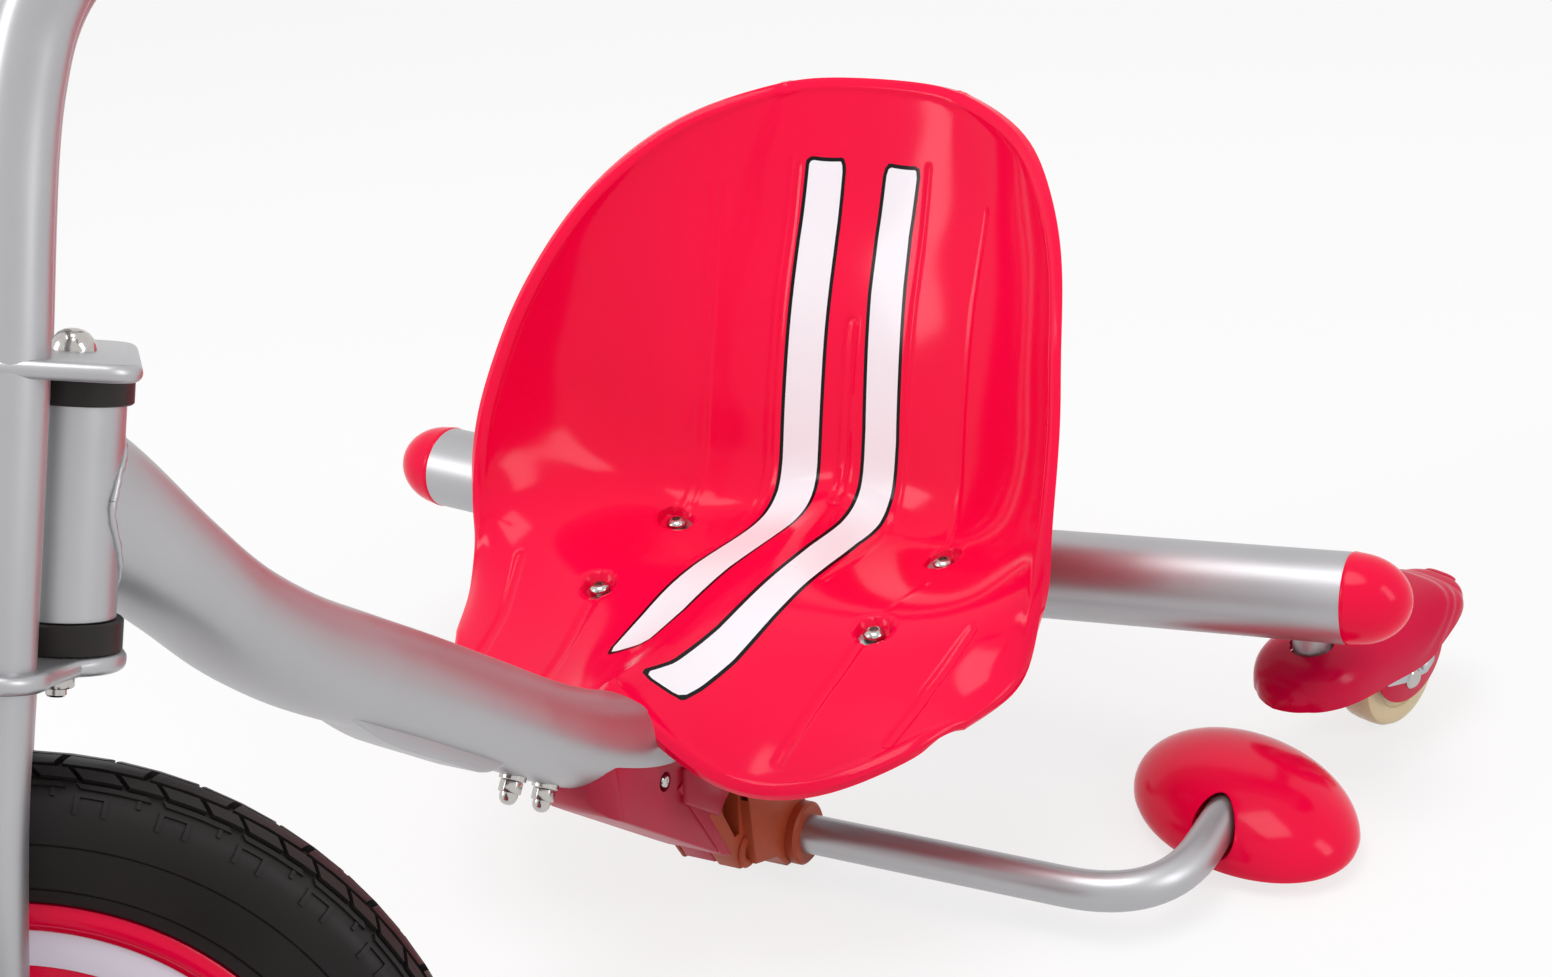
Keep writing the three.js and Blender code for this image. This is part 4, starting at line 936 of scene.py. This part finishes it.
def lug(side_from, side_to, turn_from, turn_to, height, skew=0.0):
    """A raised block on the tyre, from one distance off the crown to another, in mm and degrees."""
    piece = grid(3, 2)
    for vertex in piece.data.vertices:
        s = (vertex.co.x + 1) / 2
        t = (vertex.co.y + 1) / 2
        run = crown + side_from + (side_to - side_from) * s
        radius, x = np.interp(run, curve_run, curve_r) - SUNK, np.interp(run, curve_run, curve_x)
        angle = math.radians(turn_from + (turn_to - turn_from) * t + skew * s)
        vertex.co = Vector((x, radius * math.sin(angle), radius * math.cos(angle))) * MM
    piece.data.update()
    mid = piece.data.vertices[len(piece.data.vertices) // 2]
    if mid.normal.dot(Vector((0, mid.co.y, mid.co.z))) + mid.normal.x * mid.co.x < 0:
        piece.data.flip_normals()
    return thicken(piece, height + SUNK, 1)


PITCH = 10.0
unit = []
for side in (1, -1):
    shift = 0 if side > 0 else PITCH / 2
    for near, far, start, stop, height, skew in (
            (0.5, 8.5, 0.5, 9.6, 2.8, side), (9.6, 15.5, 0.9, 5.4, 2.2, 1.2),
            (9.6, 15.5, 6.2, 10.2, 2.2, 1.2), (16.6, 19, 1.4, 9.6, 1, 0.6),
            (21.5, 22.6, 1.4, 5.4, 0.8, 0), (22.6, 29, 1.4, 2, 0.8, 0),
            (22.6, 29, 4.8, 5.4, 0.8, 0), (19.5, 23, 8.6, 9.1, 0.7, 0)):
        unit.append(lug(side * near, side * far, shift + start, shift + stop, height, skew))
unit = join(unit)
blocks = [copy_of(unit, Matrix.Rotation(math.radians(k * PITCH), 4, "X")) for k in range(36)]
bpy.data.objects.remove(unit)
blocks = settle(join(blocks), WHEEL)
dress(tyre, "tyre_body", "front_wheel", tread, "front_tyre", angle=30)
dress(blocks, "tyre_tread", "front_wheel", tread, angle=30)

# %% [markdown]
# The axle carries a crank at each end, half a turn apart. A crank is a plate with two round ends,
# and a pedal is a soft-edged block with two slots cut through it and low ribs to grip the shoe.

# %% Axle, cranks and pedals
axle = turned([(TINY, -71), (5, -71), (6, -70), (6, 70), (5, 71), (TINY, 71)], 36, ROUND)
dress(axle, "axle_bar", "front_wheel", bright, "front_axle")
for side, word in SIDES:
    swing = WHEEL @ Matrix.Rotation(-CRANK_TURN - (0 if side > 0 else math.pi), 4, "X")
    outward = Matrix.Rotation(side * Q, 4, "Y")
    arm = corner_arc(0, 0, 13, math.pi, 2 * math.pi, 14) + corner_arc(0, CRANK, 10, 0, math.pi, 12)
    crank = soften(plate(arm, side * 65 - 5, side * 65 + 5, swing @ SIDE_ON), 2.2, 3)
    cap_nut = turned([(TINY, 0), (8, 0), (8, 1.5), (6.2, 3), (TINY, 3.4)], 32,
                     swing @ outward @ moved(0, 0, 70.2))
    spindle = turned([(5, 69), (5, 165), (4.2, 166), (TINY, 166)], 28, swing @ moved(0, 0, CRANK) @ outward)
    dress(join([crank, cap_nut, spindle]), "crank_arm_" + word, "front_wheel", steel, "crank_" + word)

    reach = side * CRANK
    pedal = WHEEL @ moved(0, reach * math.sin(CRANK_TURN), reach * math.cos(CRANK_TURN))
    low_x, high_x = pair(side, 76, 158)
    body = soften(block((low_x, -29, -11), (high_x, 29, 11), pedal), 2.5)
    for y in (-21, 21):
        a, b = pair(side, 98, 147)
        cut(body, block((a, y - 5.5, -30), (b, y + 5.5, 30), pedal))
    ribs = [soften(block((low_x + 6, y, z), (high_x - 6, y + 2.2, z + 1.4), pedal), 0.5, 2)
            for y in (-13, -8, -3, 2, 7, 12) for z in (-11.6, 10.2)]
    dress(join([body] + ribs), "pedal_block_" + word, "pedal_" + word, black, "pedal_" + word)

# %% [markdown]
# ## Under the seat
# A dark red housing hangs from the main tube and carries an orange-brown ribbed carrier on one
# pin. The bar with the drag shoe passes through the carrier's boss. The housing is drawn in the
# side view and then cut by its plan, which has a round front, so that both views are right.

# %% Housing
def side_plate(outline, low, high, bevel=0.0):
    """A plate drawn in the trike's side view, from one X to another."""
    piece = plate([(y + REAR, z) for y, z in outline], low, high, SIDE_ON)
    return soften(piece, bevel, 3) if bevel else piece


profile = [(-306, 176), (-306, 153), (-304, 145), (-299, 137.5), (-291, 130), (-214, 59.5), (-206.5, 52.8),
           (-202, 52.4), (-204, 59), (-217, 87), (-200, 99), (-203, 112), (-222, 132), (-236, 146)]
housing = side_plate(profile, -16, 23, 1.6)
front = REAR - 288
plan = [(-23, REAR - 190), (23, REAR - 190), (23, front)]
plan += corner_arc(4, front, 19, 0, -Q, 10)[1:] + corner_arc(-4, front, 19, -Q, -2 * Q, 10)
cut(housing, plate(plan, 20, 200), "INTERSECT")
soften(housing, 1.2, 2, 50)
cut(housing, turned([(TINY, 18), (5.4, 18), (5.4, 30), (TINY, 30)], 32, HOUSING_BOLT))
tongue = side_plate([(-212, 70), (-198, 40), (-188, 37), (-181, 42), (-182, 56), (-205, 84)], -10, 10, 1.2)
strip = side_plate([(-241.5, 119), (-232, 122), (-217, 87.5), (-202.5, 51), (-211.5, 57)], -12, 24.3, 0.8)
raised = side_plate([(-235, 128.5), (-240, 109), (-211, 82), (-199.5, 89), (-196.5, 102), (-207, 113)],
                    -12, 26, 1.8)
dress(join([housing, tongue, strip, raised]), "housing_shell", "frame", darkred, "bar_housing")
cross_bolt = turned([(TINY, 14), (3.6, 14), (3.6, 22.4), (2.8, 23.8), (1.4, 24.4), (TINY, 24.5)], 32,
                    HOUSING_BOLT)
dress(cross_bolt, "housing_bolt", "frame", bright)

# %% [markdown]
# The carrier has two cheeks with an arm each, and a boss through both arms holds the bar. A recess
# is sunk in the left cheek, and two pockets are cut into the edge of each arm, which leaves ribs.

# %% Ribbed carrier
panel = [(-218.5, 87), (-202, 48), (-197, 38), (-188, 34.8), (-178.5, 38), (-172, 46), (-176, 60), (-183, 84),
         (-186, 91), (-204, 97)]
window = [(-207.5, 84), (-198, 60), (-193, 59), (-189, 84), (-193, 90)]
arm = [(-190, 38), (-168, 28), (-159, 16), (-147, 13), (-132, 16), (-126, 30), (-132, 46), (-150, 66),
       (-168, 90), (-186, 92)]
pockets = [(-199, 100), (-166, 100), (-178, 60)], [(-172, 110), (-126, 78), (-150, 40)]
parts = []
for side, wide in ((1, 24.6), (-1, 13)):
    cheek = side_plate(panel, *pair(side, 10.4, wide), 1.0)
    cut(cheek, side_plate(window, *pair(side, 15, 30)))
    body = side_plate(arm, *pair(side, 10.4, wide + 6), 0.8)
    for pocket in pockets:
        cut(body, side_plate(pocket, *pair(side, 12.6, wide + 4.6)))
    collar = turned([(4.6, 10.5), (10, 10.5), (10, wide + 0.8), (9, wide + 2), (5.4, wide + 2),
                     (4.6, wide + 1), (4.6, 10.5)], 40, PIVOT @ Matrix.Rotation(side * Q, 4, "Y"))
    parts += [cheek, body, collar]
boss = [(10, -37), (16.4, -37), (18, -35.6), (18, -30), (16, -28.5), (16, 28.5), (18, 30), (18, 35.6),
        (16.4, 37), (10, 37), (10, -37)]
parts.append(turned(boss, 56, stand(0, -142, 28) @ TO_X))
dress(join(parts), "carrier_ribbed", "drag_bar", rust, "bar_carrier", angle=30)
pin = turned([(TINY, -22), (4, -22), (4, 22), (TINY, 22)], 28, PIVOT @ TO_X)
dress(pin, "pivot_pin_round", "drag_bar", ("bright_bolt", steel[1]), "bar_pivot_pin")

# %% [markdown]
# The bar is one bent tube: across through the boss, then back into the shoe.

# %% Bar
bar_points = [at(-48, -142, 28), at(249, -142, 28), at(249, -38, 28)]
bar = tube(rounded(bar_points, 0.058, 16), 11.1, around=14)
dress(bar, "drag_bar_smooth", "drag_bar", silver, "drag_bar", angle=60)

# %% [markdown]
# ## Drag shoe
# The shoe on the rider's left is a smooth oval dome, like half an egg, with a short dark hole
# where the bar enters. It is turned and then stretched to an oval, which keeps its highlights even.
# The photo shows none on the other side, and the bar ends there in a plug.

# %% Drag shoe
dome = [(TINY, 0.4), (0.93, 0.4), (0.985, 1.8), (1.0, 5)]
dome += [(math.cos(a) ** 0.9, 5 + 34 * math.sin(a)) for a in [k * math.pi / 40 for k in range(1, 20)]]
shoe = turned([(max(r, 0.0002) * 50, z) for r, z in dome] + [(TINY, 39)], 112)
shoe.data.transform(Matrix.Diagonal((75.5 / 50, 51.5 / 50, 1, 1)))
settle(shoe, stand(249.3, -23, 7) @ Matrix.Rotation(math.radians(-30), 4, "Z"))
way_in = stand(249, -42, 28.4) @ Matrix.Rotation(Q, 4, "X")
cut(shoe, turned([(TINY, 0), (13.4, 0), (13.4, 60), (TINY, 60)], 48, way_in))
soften(shoe, 1.2, 3, 50)
dress(shoe, "shoe_dome", "drag_bar", red, "drag_shoe", angle=40)
plug = turned([(TINY, -3), (9, -3), (9, 0.3), (11.6, 0.3), (11.8, 2), (10.4, 4), (6, 5), (TINY, 5.2)], 40,
              stand(-48, -142, 28) @ Matrix.Rotation(-Q, 4, "Y"))
dress(plug, "bar_plug", "drag_bar", black)

# %% [markdown]
# ## Neck strap and studs
# A flat strap lies along the underside of the main tube, and two studs with domed nuts come out
# behind it, square to the tube. Both are measured off the tube's own line, so they follow its bend.

# %% Strap
def below_neck(share):
    """A place on the main tube's line, and which way is down there."""
    i = min(118, max(1, int(round(share * 120))))
    lie = (neck_line[i + 1] - neck_line[i - 1]).normalized()
    return neck_line[i], Vector((0, lie.z, -lie.y))


def under_neck(share, away):
    """A place in the side view, that far below the main tube's line."""
    place, down = below_neck(share)
    spot = place + down * away * MM
    return spot.y / MM, spot.z / MM


shares = [0.272 + 0.203 * k / 22 for k in range(23)]
under = [under_neck(u, 20.5 + 8.7 * math.sin(Q * min(1, 2.2 * k / 22, 5 * (22 - k) / 22)))
         for k, u in enumerate(shares)]
over = [under_neck(u, 17) for u in reversed(shares)]
strap = soften(plate(under + over, -13, 13, SIDE_ON), 2.2, 4)
dress(strap, "neck_strap_bent", "frame", silver, "neck_strap", angle=40)

# %% Domed nuts
for number, share in (("1", 0.506), ("2", 0.548)):
    place, down = below_neck(share)
    spot = Matrix.Translation(place + down * TUBE * MM) @ facing(down)
    washer = turned([(TINY, -2), (6.9, -2), (6.9, 1.3), (6.4, 1.7), (TINY, 1.7)], 40, spot)
    deselect()
    bpy.ops.mesh.primitive_cylinder_add(vertices=6, radius=0.0059, depth=0.0062, location=(0, 0, 0.0049))
    nut = soften(settle(bpy.context.object, spot), 0.7, 2)
    top = turned([(TINY, 7), (4.6, 7), (4.6, 9.6), (4.2, 11.4), (3.1, 12.9), (1.6, 13.7), (TINY, 13.9)],
                 32, spot)
    dress(join([washer, nut, top]), "domed_nut_" + number, "frame", bright, "neck_nut_" + number)

# %% [markdown]
# ## Casters
# Each caster swivels on a stem behind the cross tube's end. A red fender covers it: a hood that
# is round at the nose, rises towards the back and steps down twice near its rear edge. Its width,
# height and lower edge all change along its length, so each is a short table, and the points of a
# grid are moved to where the tables put them.

# %% Fender
NOSE, TAIL = -36, 117
TOP = [(-36, 56), (-33, 66), (-26, 74), (-12, 80.5), (10, 83.5), (35, 84.5), (60, 84), (82, 82.5),
       (95, 81.5), (106, 79.5), (112, 77.5), (115.5, 75.6), (117, 74)]
WIDE = [(-36, 0), (-34, 10), (-29, 20), (-20, 28), (-8, 33.6), (8, 35), (60, 34.6), (86, 34),
        (98, 32), (106, 28.5), (112, 23), (115.5, 17), (117, 12)]
LOW = [(-36, 56), (-10, 57), (25, 55), (60, 51), (72, 54), (94, 63), (117, 69)]


def rise(value, middle_at, sharp):
    """From 0 to 1 about a middle."""
    return 1 / (1 + math.exp(-(value - middle_at) * sharp))


def flowing(t, table):
    """A table's value at t, averaged over its neighbourhood."""
    reach = min(8, t - NOSE, TAIL - t)
    return float(np.mean([np.interp(t + reach * k / 4, *zip(*table)) for k in range(-4, 5)]))


def fender_place(across, along_it):
    t = NOSE + (TAIL - NOSE) * along_it
    top, wide, low = flowing(t, TOP), flowing(t, WIDE), flowing(t, LOW)
    turn = across * Q
    far = math.hypot((t - 50) / 66, 0.78 * across)
    step = (rise(far, 0.74, 90) + rise(far, 0.86, 90)) * rise(t, 52, 0.25) * 1.6
    step *= min(1, (TAIL - t) / 9) ** 0.5
    x = wide * math.copysign(abs(math.sin(turn)) ** 0.74, across) * (1 - step / 60)
    z = low + (top - low) * abs(math.cos(turn)) ** 0.62 - step * abs(math.cos(turn)) ** 0.3
    return Vector((x, t, z)) * MM


fender = grid(72, 140)
for vertex in fender.data.vertices:
    vertex.co = fender_place(vertex.co.x, (1 - math.cos((vertex.co.y + 1) / 2 * math.pi)) / 2)
fender.data.update()
tidy(fender, 0.05)
thicken(fender, 2.2, -1 if fender.data.vertices[len(fender.data.vertices) // 2].normal.z > 0 else 1)
tidy(fender, 0.002)
cut(fender, turned([(TINY, 60), (12.8, 60), (12.8, 95), (TINY, 95)], 40))
print("hood", len(fender.data.polygons), "faces")

# %% [markdown]
# Below the hood, two round cheeks stand beside the wheel, each with a bright strip and a screw.

# %% Skirt
rim = corner_arc(65, 51, 31, -math.pi, math.radians(42), 37)
skirt = [soften(plate(rim, *pair(side, 17.2, 19), SIDE_ON), 0.7, 2) for side in (1, -1)]
fender = settle(join([fender] + skirt), CASTER)
# The hood gets the darker copy of the red plastic, which is painted shade.
both_sides(fender, "fender_hood", SWIVELS, painted_shade_red, "caster_fender", angle=40)

# %% Bright strips
bright_part = [(38, 47), (42, 39), (58, 34), (78, 31.5), (85, 36), (86, 50), (60, 46)]
strip = []
for side in (1, -1):
    strip.append(soften(plate(bright_part, *pair(side, 19.1, 20.4), SIDE_ON), 0.5, 2))
    strip.append(turned([(TINY, 0), (3.2, 0), (3.2, 1.2), (2, 2), (TINY, 2)], 20,
                        moved(side * 20.2, 76, 37.5) @ Matrix.Rotation(side * Q, 4, "Y")))
both_sides(settle(join(strip), CASTER), "side_strip", SWIVELS, steel, angle=30)

# %% [markdown]
# Under the fender is the caster itself: a pressed yoke with two legs, a shouldered bolt and a pale
# hard wheel. The left set is made once and mirrored, because the two casters stand as mirror images.

# %% Yoke, axle, wheel and stem
cheek = [(-10, 62), (-10, 70), (33, 70), (77, 39), (78, 28), (72, 22), (60, 22), (55, 28)]
yoke = [soften(plate(cheek, *pair(side, 14, 17), SIDE_ON), 0.7, 2) for side in (1, -1)]
yoke.append(soften(block((-17, -10.8, 66), (17, 13.2, 70)), 0.7, 2))
yoke.append(turned([(10.6, 70), (10.6, 74.7)], 40))
both_sides(settle(join(yoke), CASTER), "yoke_plates", SWIVELS, steel, "caster_yoke", angle=30)
axle = turned([(TINY, -21), (5, -21), (6.4, -19.6), (6.4, -17.3), (4, -17.3), (4, 17.3), (6.4, 17.3),
               (6.4, 19.6), (5, 21), (TINY, 21)], 36, CASTER_AXLE)
both_sides(axle, "caster_bolt", SWIVELS, bright, "caster_axle")
roll = [(4.4, -12), (13, -12), (14, -10.5), (20, -10.5), (21, -12), (28, -12), (31, -10.8), (32.6, -8),
        (33, -4)]
roll += [(radius, -x) for radius, x in reversed(roll)] + roll[:1]
both_sides(turned(roll, 96, CASTER_AXLE), "caster_tyre", ("caster_wheel_left", "caster_wheel_right"),
           pale, "caster_wheel")
stem = turned([(TINY, 75), (10.8, 75), (10.8, 122), (TINY, 122)], 48, STEM)
both_sides(stem, "stem_tube", ("frame", "frame"), silver, "caster_stem")

# %% [markdown]
# ## Finishes for the CAD pieces that stay
# Small plain pieces keep their CAD shape and only get their finish.

# %% Finish the rest
for node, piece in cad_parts.items():
    if not piece.hide_render:
        piece.data.materials.clear()
        piece.data.materials.append(steel[1])
        print("kept", node)

low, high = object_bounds()
print("visual box", [round(v, 4) for v in low], [round(v, 4) for v in high])
